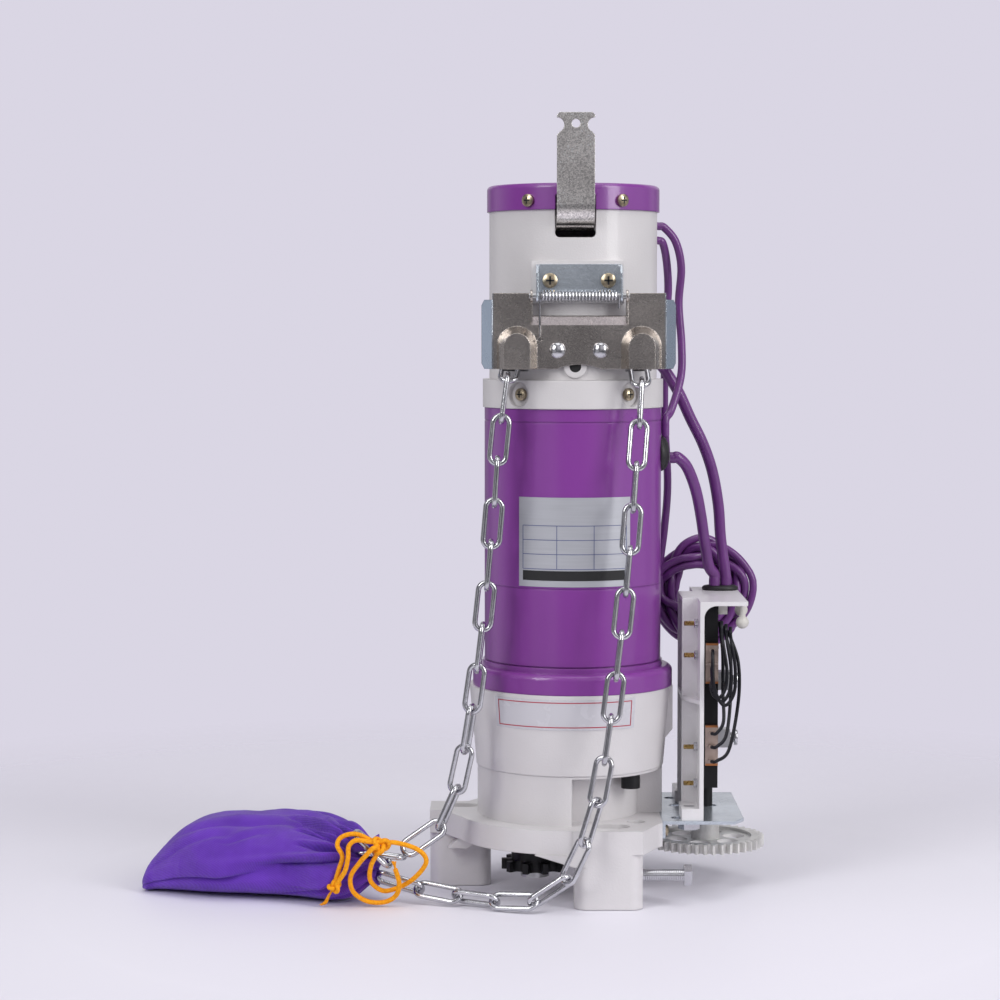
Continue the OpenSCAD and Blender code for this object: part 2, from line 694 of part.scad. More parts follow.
sprocket_rp = chain_pitch / 2 / sin(180 / sprocket_z);
sprocket_ra = sprocket_rp + 0.36 * roller_d - 0.26;
flank = 24;
module sprocket() color("black") difference() {
  union() {
    translate([0, 0, sprocket_z0 - sprocket_t / 2]) cylinder(r = sprocket_ra, h = sprocket_t);
    translate([0, 0, sprocket_z0]) cylinder(r = hub_r, h = hub_h + sprocket_t / 2);
  }
  for (i = [0 : sprocket_z - 1]) rotate([0, 0, i * 360 / sprocket_z + 180 / sprocket_z])
    translate([sprocket_rp, 0, sprocket_z0 - sprocket_t / 2 - over]) {
    cylinder(d = roller_d, h = sprocket_t + 2 * over, $fn = 32);
    linear_extrude(sprocket_t + 2 * over) polygon([[0, -roller_d / 2], [roller_d, -roller_d / 2 - roller_d
      * tan(flank)],
      [roller_d, roller_d / 2 + roller_d * tan(flank)], [0, roller_d / 2]]);
  }
  translate([0, 0, -over]) cylinder(d = out_d, h = flange_top);
}

// Release lever
lever_y = axis_y - head_r - lever_gap;
lever_top = head_z + lever_up;
lever_ear_r = 4.9;
lever_ear_down = 8.4;
lever_ear_z = lever_top - lever_ear_down;
lever_hole_d = 5.8;
lever_hole_down = 7.4;
lever_hole_z = lever_top - lever_hole_down;
lever_corner = 2.6;
knuckle_r = 5;
module release_lever() color("silver") difference() {
  union() {
    translate([axis_x - lever_w / 2, lever_y - lever_t, lever_z + lever_bend])
      cube([lever_w, lever_t, lever_top - lever_z - lever_bend]);
    // Bend into the slot
    translate([axis_x - lever_w / 2, lever_y - lever_t / 2 + lever_bend, lever_z + lever_bend])
      rotate([90, 0, 90]) difference() {
      cylinder(r = lever_bend + lever_t / 2, h = lever_w);
      translate([0, 0, -over]) cylinder(r = lever_bend - lever_t / 2, h = lever_w + 2 * over);
      translate([-2 * lever_bend, 0, -over]) cube([4 * lever_bend, 2 * lever_bend, lever_w + 2 * over]);
      translate([0, -2 * lever_bend, -over]) cube([2 * lever_bend, 4 * lever_bend, lever_w + 2 * over]);
    }
    translate([axis_x - lever_w / 2, lever_y - lever_t / 2 + lever_bend, lever_z - lever_t / 2])
      cube([lever_w, lever_pin_y - lever_y + lever_t / 2 - lever_bend, lever_t]);
    translate([axis_x - lever_w / 2, lever_pin_y, lever_z]) rotate([0, 90, 0]) cylinder(r = knuckle_r,
      h = lever_w);
  }
  translate([axis_x - lever_w, lever_pin_y, lever_z]) rotate([0, 90, 0])
    cylinder(r = lever_pin_d / 2 + fit, h = 2 * lever_w);
  for (s = [-1, 1]) {
    translate([axis_x + s * lever_w / 2, lever_y + over, lever_ear_z]) rotate([90, 0, 0])
      cylinder(r = lever_ear_r, h = lever_t + 2 * over);
    // Blunted corners over and under the notch
    for (z = [lever_top, lever_ear_z - lever_ear_r])
      translate([axis_x + s * lever_w / 2, lever_y + over, z]) rotate([90, 45, 0])
        translate([-lever_corner / 2, -lever_corner / 2, 0]) cube([lever_corner, lever_corner,
          lever_t + 2 * over]);
  }
  translate([axis_x, lever_y + over, lever_hole_z]) rotate([90, 0, 0]) cylinder(d = lever_hole_d,
    h = lever_t + 2 * over);
}

// Guide bracket, pin, spring and plate
guide_shift = 1;
guide_x = axis_x + chain_shift + guide_shift;
pin_out = 7.1;
pin_y = axis_y - head_r - pin_out;
pin_down = 2.1;
pin_z = head_z + plate_up - pin_down;
bracket_w = 58.4;
bracket_h = 24;
ear_low = 2.3;
bracket_z = pin_z - ear_low;
ear_wall = 2.2;
ear_out = pin_d / 2 + ear_wall;
bracket_y = axis_y - head_r - touch;
module guide_bracket() color("lightgray") difference() {
  union() {
    translate([guide_x - bracket_w / 2, bracket_y - sheet_t, bracket_z + bracket_rise])
      cube([bracket_w, sheet_t, bracket_h - bracket_rise]);
    for (x = [guide_x - bracket_w / 2, guide_x + bracket_w / 2 - sheet_t]) {
      translate([x, pin_y, bracket_z]) cube([sheet_t, bracket_y - pin_y, bracket_h]);
      translate([x, pin_y, pin_z]) rotate([0, 90, 0]) cylinder(r = ear_out, h = sheet_t);
      translate([x, pin_y - ear_out, pin_z]) cube([sheet_t, ear_out, bracket_h / 2]);
    }
  }
  translate([guide_x - bracket_w, pin_y, pin_z]) rotate([0, 90, 0]) cylinder(d = pin_d, h = 2 * bracket_w);
  // Cut-off upper front corners of the ears
  for (x = [guide_x - bracket_w / 2, guide_x + bracket_w / 2 - sheet_t])
    translate([x - over, pin_y - ear_out, pin_z + bracket_h / 2]) rotate([40, 0, 0])
    cube([sheet_t + 2 * over, bracket_h, bracket_h]);
}
bracket_rise = 4;
bracket_screw_d = 10;
bracket_screw_x = 19.7;
bracket_screw_up = 10.5;
module bracket_screws() color("darkgoldenrod") for (s = [-1, 1])
  translate([guide_x + s * bracket_screw_x, bracket_y - sheet_t, pin_z + bracket_screw_up])
    rotate([0, 0, -90]) pan_head(bracket_screw_d, pan_t);
pin_end = 1;
pin_l = notch_w + 2 * pin_end;
module hinge_pin() color("silver") translate([guide_x - pin_l / 2, pin_y, pin_z]) rotate([0, 90, 0])
  cylinder(d = pin_d, h = pin_l);
// Sweep of a round section along a route
function unit(v) = v / norm(v);
function dir_at(p, i) = unit(p[min(i + 1, len(p) - 1)] - p[max(i - 1, 0)]);
function turned(u, t) = unit(u - (u * t) * t);
function sides_of(p, u, i = 0) = i >= len(p) ? [] : let (w = turned(u, dir_at(p, i)))
  concat([w], sides_of(p, w, i + 1));
function tube_points(p, d, n, u) = let (s = sides_of(p, u)) [for (i = [0 : len(p) - 1])
  let (t = dir_at(p, i), v = cross(t, s[i]))
  for (k = [0 : n - 1]) p[i] + d / 2 * (cos(k * 360 / n) * s[i] + sin(k * 360 / n) * v)];
function tube_faces(m, n) = concat(
  [for (i = [0 : m - 2], k = [0 : n - 1]) let (a = i * n + k, b = i * n + (k + 1) % n)
    each [[a, a + n, b], [b, a + n, b + n]]],
  [for (k = [1 : n - 2]) [0, k, k + 1]], [for (k = [1 : n - 2]) let (o = (m - 1) * n) [o, o + k + 1,
    o + k]]);
module sweep(p, d, n, u = [0, 1, 0]) { polyhedron(tube_points(p, d, n, u), tube_faces(len(p), n)); }
function curve(a, b, c, d, t) = 0.5 * (2 * b + (c - a) * t + (2 * a - 5 * b + 4 * c - d) * t * t
  + (3 * b - a - 3 * c + d) * t * t * t);
function route(p, s) = concat([for (i = [0 : len(p) - 2], k = [0 : s - 1])
  curve(p[max(i - 1, 0)], p[i], p[i + 1], p[min(i + 2, len(p) - 1)], k / s)], [p[len(p) - 1]]);
function least_gap(p, skip) = min([for (i = [0 : len(p) - 1 - skip], j = [i + skip : len(p) - 1])
  norm(p[i] - p[j])]);
spring_l = 53.4;
spring_rings = 8;
spring_r = (spring_d - spring_wire) / 2;
spring_leg = 27;
function spring_path() = concat(
  [[guide_x - spring_l / 2, pin_y - spring_r, pin_z - spring_leg],
   [guide_x - spring_l / 2, pin_y - spring_r, pin_z - spring_leg / 2]],
  [for (i = [0 : spring_turns * spring_rings]) let (a = i * 360 / spring_rings)
    [guide_x - spring_l / 2 + spring_l * i / (spring_turns * spring_rings), pin_y - spring_r * cos(a),
      pin_z + spring_r * sin(a)]],
  [[guide_x + spring_l / 2, pin_y - spring_r, pin_z - spring_d]]);
module torsion_spring() color("silver") {
  echo(spring_gap = least_gap([for (i = [2 : len(spring_path()) - 2]) spring_path()[i]], spring_rings - 1)
    - spring_wire);
  sweep(spring_path(), spring_wire, 6, [1, 0, 0.1]);
}
plate_z = head_z + plate_up - plate_h;
plate_gap = 2;
plate_y = axis_y - head_r - plate_gap;
tongue_up = 31.6;
notch_z = plate_z + tongue_up;
tongue_h = 7;
tongue_lean = 30;
hood_x = 42.05;
wing_out = 7.2;
wing_back = 12;
wing_cut = 4.5;
arch_w = 40;
arch_h = 3;
hook_d = 2.2;
hood_flat_r = 7.4;
hood_open_share = 0.86;
// Round dome, drawn down to the plate's lower edge
module hood(grow) {
  hull() {
    hood_step(hood_w / 2 + grow, over);
    hood_step(hood_w / 2 + grow - hood_lip, hood_lip);
    hood_step(hood_flat_r + grow, hood_deep + grow);
  }
}
hood_lip = 1.6;
module hood_step(r, out) {
  translate([0, 0, hood_h - hood_w / 2]) rotate([90, 0, 0]) translate([0, 0, out - touch]) cylinder(r = r,
    h = touch, $fn = 72);
  translate([-r, -out, -over]) cube([2 * r, touch, hood_h - hood_w / 2]);
}
module guide_plate() color("rosybrown") difference() {
  union() {
    difference() {
      translate([guide_x - plate_w / 2, plate_y - sheet_t, plate_z]) cube([plate_w, sheet_t, plate_h]);
      translate([guide_x - notch_w / 2, plate_y - sheet_t - over, notch_z])
        cube([notch_w, sheet_t + 2 * over, plate_h]);
    }
    for (s = [-1, 1]) {
      // Ears round the pin
      translate([guide_x + s * (notch_w - sheet_t) / 2 - sheet_t / 2, pin_y, notch_z])
        cube([sheet_t, plate_y - pin_y, plate_z + plate_h - notch_z]);
      translate([guide_x + s * (notch_w - sheet_t) / 2 - sheet_t / 2, pin_y, pin_z]) rotate([0, 90, 0])
        cylinder(r = ear_out, h = sheet_t);
      // Wings that bend back
      translate([guide_x + s * plate_w / 2, plate_y - sheet_t / 2, plate_z])
        rotate([0, 0, s > 0 ? wing_lean : 180 - wing_lean]) difference() {
        translate([-sheet_t / 2, -sheet_t / 2, 0]) cube([norm([wing_out, wing_back]), sheet_t,
          plate_h - wing_cut]);
        translate([norm([wing_out, wing_back]) - wing_cut, -sheet_t, plate_h - wing_cut])
          rotate([0, 45, 0]) cube([2 * wing_cut, 2 * sheet_t, 2 * wing_cut], center = false);
        translate([norm([wing_out, wing_back]) - wing_cut, -sheet_t, 0]) rotate([0, 45, 0])
          cube([2 * wing_cut, 2 * sheet_t, 2 * wing_cut], center = false);
      }
      translate([guide_x + s * hood_x, plate_y - sheet_t + over + touch, plate_z]) intersection() {
        hood(sheet_t);
        translate([-hood_w, -2 * hood_deep, 0]) cube([2 * hood_w, 2 * hood_deep - over, 2 * hood_h]);
      }
    }
    // Tongue under the spring
    translate([guide_x - notch_w / 2, plate_y, notch_z - sheet_t]) rotate([tongue_lean, 0, 0])
      translate([0, -sheet_t, 0])
      linear_extrude(tongue_h) square([notch_w, sheet_t]);
  }
  for (s = [-1, 1]) translate([guide_x + s * hood_x, plate_y - sheet_t + over + 2 * touch, plate_z]) {
    hood(0);
    // The plate is open behind the hood
    translate([-hood_w / 2 + sheet_t, -sheet_t - over, -over]) cube([hood_w - 2 * sheet_t, 3 * sheet_t,
      hood_h * hood_open_share + over]);
  }
  translate([guide_x - notch_w, pin_y, pin_z]) rotate([0, 90, 0]) cylinder(r = pin_d / 2 + fit,
    h = 2 * notch_w);
  // Arch in the lower edge, and the hole for the spring's leg
  translate([guide_x, plate_y + over, plate_z - arch_w + arch_h]) rotate([90, 0, 0]) cylinder(r = arch_w,
    h = sheet_t + 2 * over);
  translate([guide_x - spring_l / 2, plate_y + over, pin_z - spring_leg - hook_d]) rotate([90, 0, 0])
    cylinder(d = hook_d, h = sheet_t + 2 * over);
}
wing_lean = atan2(wing_back, wing_out);
rivet_x = 14.6;
rivet_up = 12.9;
rivet_d = 11;
rivet_t = 2.8;
rivet_round_share = 0.65;
module guide_rivets() color("silver") for (s = [-1, 1]) translate([guide_x + s * rivet_x,
  plate_y - sheet_t, plate_z + rivet_up]) rotate([90, 0, 0])
  intersection() {
    cylinder(d = rivet_d, h = rivet_t);
    translate([0, 0, rivet_t - rivet_d * rivet_round_share]) sphere(r = rivet_d * rivet_round_share,
      $fn = 64);
  }

// Bare plates on the motor and on the case
name_h = 61;
name_half = 37.5;
name_up = 55;
name_z = tube_z + name_up;
label_t = 0.5;
module name_plate() color("silver") at_axis(name_z) intersection() {
  ring(tube_r + label_t, tube_r + touch, name_h);
  rotate([0, 0, -90]) translate([0, 0, -over]) linear_extrude(name_h + 2 * over)
    polygon([[0, 0], [2 * tube_r * cos(name_half), -2 * tube_r * sin(name_half)],
      [2 * tube_r * cos(name_half), 2 * tube_r * sin(name_half)]]);
}
strip_h = 21;
strip_up = 42.8;
strip_turn = 5;
strip_z = base_top + strip_up;
strip_half = 43;
function case_r_at(z) = case_low_r + (case_top_r - case_low_r) * (z - base_top) / case_h;
module lower_plate() color("whitesmoke") translate([axis_x - neck_off, axis_y, strip_z - strip_h / 2])
  intersection() {
  difference() {
    cylinder(r1 = case_r_at(strip_z - strip_h / 2) + label_t, r2 = case_r_at(strip_z + strip_h / 2)
      + label_t, h = strip_h);
    cylinder(r1 = case_r_at(strip_z - strip_h / 2) + touch, r2 = case_r_at(strip_z + strip_h / 2) + touch,
      h = strip_h);
  }
  rotate([0, 0, -90 - strip_turn]) translate([0, 0, -over]) linear_extrude(strip_h + 2 * over)
    polygon([[0, 0], [2 * tube_r * cos(strip_half), -2 * tube_r * sin(strip_half)],
      [2 * tube_r * cos(strip_half), 2 * tube_r * sin(strip_half)]]);
}

// Limit unit
unit_x = axis_x + side_x;
unit_front = 43.5;
unit_y = axis_y - unit_front;
angle_top = flange_top;
angle_drop = 12;
angle_chamfer_x = 7;
angle_chamfer_y = 13;
angle_slot_x = 7;
angle_slot_l = 20;
angle_slot_w = 8.6;
front_slot = 14;
rear_slot = 92;
spin_x = unit_x + spindle_reach;
spin_y = axis_y + spindle_back;
bush_slot_l = 34;
bush_slot_w = 8;
module mounting_angle() color("lightsteelblue") difference() {
  union() {
    translate([unit_x, unit_y, angle_top - angle_t]) linear_extrude(angle_t)
      polygon([[0, 0], [angle_w - angle_chamfer_x, 0], [angle_w, angle_chamfer_y], [angle_w, angle_deep],
        [0, angle_deep]]);
    translate([unit_x, unit_y, angle_top - angle_drop]) cube([angle_t, angle_deep - angle_chamfer_y,
      angle_drop]);
  }
  for (y = [front_slot, rear_slot]) translate([unit_x + angle_slot_x + angle_slot_l / 2, unit_y + y,
    angle_top - angle_t - over])
    slot_cut(angle_slot_l, angle_slot_w, angle_t + 2 * over);
  translate([spin_x - bush_slot_l / 2 + bush_slot_w, spin_y, angle_top - angle_t - over])
    slot_cut(bush_slot_l, bush_slot_w, angle_t + 2 * over);
  for (y = angle_screw_y) translate([unit_x - over, unit_y + y, angle_top - angle_drop / 2 - angle_t / 2])
    rotate([0, 90, 0]) cylinder(d = angle_screw_d / 2, h = angle_t + 2 * over);
}
angle_screw_y = [6, 46, 84];
angle_screw_d = 8;
module angle_screws() color("darkgoldenrod") for (y = angle_screw_y)
  translate([unit_x + angle_t, unit_y + y, angle_top - angle_drop / 2 - angle_t / 2])
    pan_head(angle_screw_d, pan_t * 0.8);
wall_in = 25.7;
wall_x = unit_x + wall_in;
rib_out = 10.5;
web_front = 30.7;
web_back = 74;
frame_deep = 106;
foot_t = 8.2;
mid_rib = 80.5;
corner_r = 8.4;
frame_top = angle_top + frame_h;
grommet_x = 15;
grommet_in = 22.5;
wall_set = 1.7;
wall_y = unit_y + wall_set;
spin_boss_d = 13;
spin_boss_h = 10;
rod_d = 4;
rod_back = 14;
rod_y = spin_y + rod_back;
module limit_frame() color("gainsboro") difference() {
  union() {
    translate([wall_x, wall_y, angle_top]) cube([frame_wall, frame_deep, frame_h]);
    translate([wall_x, wall_y, frame_top - frame_wall]) cube([frame_top_w, frame_deep, frame_wall]);
    // Rounded inner corner under the top
    translate([wall_x + frame_wall, wall_y, frame_top - frame_wall - corner_r]) difference() {
      cube([corner_r, frame_deep, corner_r]);
      translate([corner_r, -over, 0]) rotate([-90, 0, 0]) cylinder(r = corner_r, h = frame_deep + 2 * over);
    }
    // Webs, top rib and middle ribs outside the wall
    for (y = [web_front, web_back]) translate([wall_x - rib_out, wall_y + y - frame_wall, angle_top])
      cube([rib_out + over, frame_wall, frame_h]);
    translate([wall_x - rib_out, wall_y + web_front - frame_wall, frame_top - frame_wall])
      cube([rib_out + over, web_back - web_front + frame_wall, frame_wall]);
    for (z = [angle_top + mid_rib]) {
      translate([wall_x, wall_y, z]) linear_extrude(frame_wall)
        polygon([[over, 0], [0, 0], [-rib_out, web_front - frame_wall], [over, web_front]]);
      translate([wall_x, wall_y, z]) linear_extrude(frame_wall) polygon([[over, frame_deep],
        [0, frame_deep], [-rib_out, web_back], [over, web_back - over]]);
      translate([wall_x - rib_out, wall_y + web_front - over, z])
        cube([rib_out + over, web_back - web_front, frame_wall]);
    }
    // Feet on the angle
    for (y = [0, web_back]) translate([wall_x - rib_out - foot_lip, wall_y + y, angle_top])
      cube([rib_out + foot_lip + frame_wall, y > 0 ? frame_deep - web_back : web_front, foot_t]);
    translate([spin_x, spin_y, frame_top - frame_wall - spin_boss_h]) cylinder(d = spin_boss_d,
      h = spin_boss_h + over);
  }
  translate([spin_x, spin_y, frame_top - frame_wall - spin_boss_h - over])
    cylinder(d = spindle_d + 2 * fit, h = spin_boss_h);
  translate([spin_x, rod_y, frame_top - 2 * frame_wall]) cylinder(d = rod_d, h = 3 * frame_wall);
  translate([wall_x + frame_top_w - grommet_x + frame_wall, wall_y + frame_deep - grommet_in,
    frame_top - 2 * frame_wall]) cylinder(d = frame_rubber_d - 3 * frame_wall / 2, h = 3 * frame_wall);
  for (y = [front_slot, rear_slot]) translate([frame_bolt_x, unit_y + y, angle_top - over])
    cylinder(d = bolt_d, h = foot_t + 2 * over);
  for (z = switch_screw_z) translate([wall_x - over, switch_screw_y, angle_top + z]) rotate([0, 90, 0])
    cylinder(d = switch_screw_d, h = frame_wall + 2 * over);
}
foot_lip = 1.6;
frame_bolt_out = 1;
frame_bolt_x = wall_x - rib_out / 2 - frame_bolt_out;
frame_rubber_d = 17.5;
module frame_bolts() color("silver") for (y = [front_slot, rear_slot])
  translate([frame_bolt_x, unit_y + y, angle_top - angle_t]) {
  cylinder(d = bolt_d, h = angle_t + foot_t);
  translate([0, 0, -bolt_head_t]) hex_head(bolt_af, bolt_head_t);
}
block_x = wall_x + frame_wall;
block_set = 9;
block_y = wall_y + block_set;
block_deep = 34;
block_up = 21.5;
block_gap = 0.6;
block_z = angle_top + block_up;
block_h = frame_h - frame_wall - block_up - block_gap;
// Heights of the switches and of their screws as shares of the frame's
switch_low_share = [0.247, 0.623];
switch_screw_share = [0.151, 0.319, 0.742, 0.888];
switch_z = [for (k = switch_low_share) k * frame_h];
switch_screw_z = [for (k = switch_screw_share) k * frame_h];
switch_screw_in = 11;
switch_screw_y = block_y + switch_screw_in;
switch_screw_d = 3;
module switch_block() color("black") difference() {
  translate([block_x, block_y, block_z]) cube([switch_w, block_deep, block_h]);
  // Follows the frame's rounded corner
  translate([block_x, block_y - over, frame_top - frame_wall - corner_r]) difference() {
    translate([-over, 0, 0]) cube([corner_r + over, block_deep + 2 * over, corner_r + over]);
    translate([corner_r + touch, -over, 0]) rotate([-90, 0, 0]) cylinder(r = corner_r,
      h = block_deep + 4 * over);
    translate([corner_r, -over, -over]) cube([2 * over, block_deep + 4 * over, corner_r + over]);
  }
  for (z = switch_z) translate([block_x + switch_side, block_y - over, angle_top + z])
    cube([switch_w, switch_deep + over + touch, switch_l + 2 * touch]);
}
switch_side = 1.4;
switch_out = 2.6;
term_t = 1.6;
term_l = 3.4;
blade_share = [0.1, 0.46, 0.8];
module micro_switches() color("tan") for (z = switch_z) translate([block_x + switch_side + touch,
  block_y - switch_out, angle_top + z + touch]) {
  difference() {
    cube([switch_w - switch_side - 2 * touch, switch_deep + switch_out, switch_l]);
    translate([-over, -over, switch_l / 2]) rotate([0, 90, 0]) cylinder(d = switch_screw_d,
      h = switch_w + 2 * over, $fn = 24);
  }
  // Contact blades at the front
  for (k = blade_share) translate([(switch_w - switch_side) / 4, -term_l, switch_l * k])
    cube([(switch_w - switch_side) / 2, term_l + over, term_t]);
}
nut_af = 5.5;
nut_t = 2.4;
tip_l = 9.5;
module switch_screws() color("goldenrod") for (z = switch_screw_z) translate([wall_x + frame_wall,
  switch_screw_y, angle_top + z]) rotate([0, -90, 0]) {
  cylinder(d = switch_screw_d, h = frame_wall + tip_l);
  translate([0, 0, frame_wall]) hex_head(nut_af, nut_t);
}
// White connector and two round caps under the frame's top
cap_ball_d = 9;
plug_w = 6.5;
plug_h = 7;
module wire_block() color("white") {
  translate([block_x + switch_w + touch, block_y + 4, frame_top - frame_wall - plug_h])
    cube([plug_w, plug_w, plug_h]);
  for (k = [0, 1]) translate([block_x + switch_w + 2.6 * plug_w - k * play, block_y + 4 + k * plug_w,
    frame_top - frame_wall - cap_ball_d / 2 - (1 - k) * 8]) {
    sphere(d = cap_ball_d, $fn = 32);
    translate([0, 0, 0]) cylinder(d = cap_ball_d / 2, h = cap_ball_d / 2 + (1 - k) * 8);
  }
}
bush_d = 10;
bush_h = 26;
module spindle_bush() color("black") translate([spin_x, spin_y, angle_top]) ring(bush_d / 2,
  spindle_d / 2 + fit, bush_h);
module guide_rod() color("silver") translate([spin_x, rod_y, angle_top]) cylinder(d = rod_d,
  h = frame_h - frame_wall / 2);
web_t = 2.6;
rim_t = 7;
web_in_r = limit_m * limit_z / 2 - rim_t;
gear_hub_r = 10;
hub_top = 13;
module limit_gear() color("lightgray") translate([spin_x, spin_y, limit_z0]) difference() {
  union() {
    linear_extrude(limit_t) gear_outline(limit_z, limit_m, 20, backlash);
    cylinder(r = gear_hub_r, h = hub_top + limit_t);
  }
  translate([0, 0, -over]) cylinder(d = spindle_d, h = hub_top + limit_t + 2 * over);
  // Recessed web on both faces, with round openings
  translate([0, 0, (limit_t + web_t) / 2]) ring(web_in_r, gear_hub_r, limit_t);
  translate([0, 0, -over]) ring(web_in_r, gear_hub_r + 2, (limit_t - web_t) / 2 + over);
  for (i = [0 : 5]) rotate([0, 0, i * 60 + 15]) translate([(web_in_r + gear_hub_r) / 2, 0, -over])
    cylinder(d = web_in_r - gear_hub_r - 7, h = limit_t + 2 * over);
}
spindle_under = 1;
spindle_low = limit_z0 - spindle_under;
module spindle() color("silver") translate([spin_x, spin_y, spindle_low]) cylinder(d = spindle_d,
  h = frame_top - frame_wall - spindle_low - spindle_short);
spindle_short = 3;
nut_back = 5.2;
nut_h = 13;
nut_share = [0.322, 0.592];
upper_nut_z = angle_top + nut_share[1] * frame_h;
lower_nut_z = angle_top + nut_share[0] * frame_h;
arm_out = 17;
arm_w = 12;
thumb_d = 10.6;
thumb_t = 2.2;
stem_d = 4.6;
stem_l = 3.2;
module travel_nut(z) translate([spin_x, spin_y, z - nut_h / 2]) {
  difference() {
    union() {
      cylinder(r = nut_back, h = nut_h);
      translate([-nut_back, -arm_w / 2, 0]) cube([nut_back + arm_out, arm_w, nut_h]);
      translate([-rod_d, 0, nut_h / 4]) cube([2 * rod_d, rod_y - spin_y + rod_d, nut_h / 2]);
    }
    translate([0, 0, -over]) cylinder(d = spindle_d + 2 * fit, h = nut_h + 2 * over);
    translate([0, rod_y - spin_y, -over]) cylinder(r = rod_d / 2 + 2 * fit, h = nut_h + 2 * over);
  }
  // Thumb screw
  translate([arm_out - over, 0, nut_h / 2]) rotate([0, 90, 0]) {
    cylinder(d = stem_d, h = stem_l + over);
    translate([0, 0, stem_l + over]) cylinder(d = thumb_d, h = thumb_t);
  }
}
module upper_nut() color("dimgray") travel_nut(upper_nut_z);
module lower_nut() color("dimgray") travel_nut(lower_nut_z);

// Cables
thick_cable = 8;
thin_cable = 5.6;
rubber_t = 6;
tube_right = axis_x + tube_r;
frame_rubber_x = wall_x + frame_top_w - grommet_x + frame_wall;
frame_rubber_y = wall_y + frame_deep - grommet_in;
rubber_out = 3;
module gland_rubbers() color("black") {
  difference() {
    at_axis(rubber_z) rotate([0, 90, 0]) cylinder(d = rubber_d, h = tube_r + rubber_t);
    at_axis(tube_z) cylinder(r = tube_r, h = tube_h);
  }
  translate([frame_rubber_x, frame_rubber_y, frame_top]) cylinder(d = frame_rubber_d, h = rubber_out);
}
frame_gland = [frame_rubber_x, frame_rubber_y, frame_top + rubber_out];
rubber_low = 3;
motor_gland = [tube_right + rubber_t, axis_y, rubber_z - rubber_low];
motor_route = [motor_gland, motor_gland + [3, 0, 0], motor_gland + [6, 0, 0], [107, 25, frame_top + 90],
  [113.5, 32, frame_top + 74], [118, 42, frame_top + 55], [121.5, 51, frame_top + 35],
  [125, 58.5, frame_top + 18], frame_gland + [-4.8, -1, 8], frame_gland + [-4.8, -1, 4],
  frame_gland + [-4.8, -1, 0]];
module motor_cable() color("purple") sweep(route(motor_route, 2), thick_cable, 8);
function head_gland(turn, z) = [axis_x + (head_r + play) * cos(turn), axis_y + (head_r + play)
  * sin(turn), z];
supply_gland = head_gland(2 * cable_turn, supply_z);
supply_route = [supply_gland, supply_gland + [4, 1.8, -0.5], [91, 49, frame_top + 160],
  [102, 52, frame_top + 143], [111, 55, frame_top + 124], [120.5, 58, frame_top + 105],
  [127.5, 61, frame_top + 85], [132, 63, frame_top + 61], [134, 65, frame_top + 37],
  frame_gland + [3.4, 2.4, 8], frame_gland + [3.4, 2.4, 4], frame_gland + [3.4, 2.4, 0]];
module supply_cable() color("purple") sweep(route(supply_route, 2), thick_cable, 8);
thin_gland = head_gland(cable_turn, cap_z - cable_low);
thin_gland_2 = head_gland(cable_turn, cap_z - cable_up);
brake_gland = [tube_right + rubber_t / 2, axis_y, rubber_z + rubber_d / 2 + touch];
brake_route = [thin_gland, thin_gland + [3, 0.6, 0], thin_gland + [7, 1.4, -1],
  [99, 36, frame_top + 248], [103, 38, frame_top + 230], [101.5, 40, frame_top + 205],
  [103.5, 39, frame_top + 177], [103, 36, frame_top + 154], [96, 28, frame_top + 131],
  brake_gland + [0.4, 0.5, 12], brake_gland + [0, 0, 6], brake_gland + [0, 0, 3], brake_gland];
module brake_cable() color("purple") sweep(route(brake_route, 2), thin_cable, 8);
hank_x = 123;
hank_down = 5.5;
hank_z = frame_top - hank_down;
hank_gap_y = 5;
hank_y = wall_y + frame_deep + hank_gap_y;
hank_w = 74;
hank_t = 76;
hank_rings = 24;
hank_loops = 4;
hank_step = 6.1;
// One layer spirals in and the next spirals out again
function hank_turn(k) = min(k, 2 * hank_loops - k);
function hank_layer(k) = min(1, max(0, 2 * (k - hank_loops) + 0.5));
function hank_point(i) = let (k = i / hank_rings, a = 180 + i * 360 / hank_rings,
  g = hank_step * hank_turn(k))
  [hank_x + (hank_w / 2 - g) * cos(a), hank_y + thin_cable / 2 + hank_step * hank_layer(k),
    hank_z + (hank_t / 2 - g) * sin(a)];
hank_path = [for (i = [0 : 2 * hank_loops * hank_rings]) hank_point(i)];
hank_start = hank_path[0];
lead_route = [thin_gland_2, thin_gland_2 + [3, 0.6, 0], thin_gland_2 + [6, 2, -2],
  [93, 44, frame_top + 235], [95, 56, frame_top + 215], [94, 66, frame_top + 187],
  [94, 78, frame_top + 127], [97, 86, frame_top + 77],
  hank_start + [3, -3, 46], hank_start + [0, 0, 20], hank_start + [0, 0, 10], hank_start];
module hank_lead() color("purple") sweep(route(lead_route, 2), thin_cable, 8);
module cable_hank() color("purple") {
  sweep(concat([hank_start - [0, 0, touch], hank_start - [0, 0, thin_cable / 2]],
    [for (i = [1 : len(hank_path) - 1]) hank_path[i]]), thin_cable, 6);
  echo(hank_gap = least_gap(hank_path, 12) - thin_cable);
}
wire_t = 2.4;
wire_x = block_x + switch_w + 1.6;
blade_y = block_y - switch_out - term_l - touch;
blade_x = block_x + switch_side + (switch_w - switch_side) / 2;
function blade_z(n, k) = angle_top + switch_z[n] + switch_l * blade_share[k] + term_t / 2;
wire_tops = [0, 3.4, 6.8];
wire_slack = [3, 7, 11];
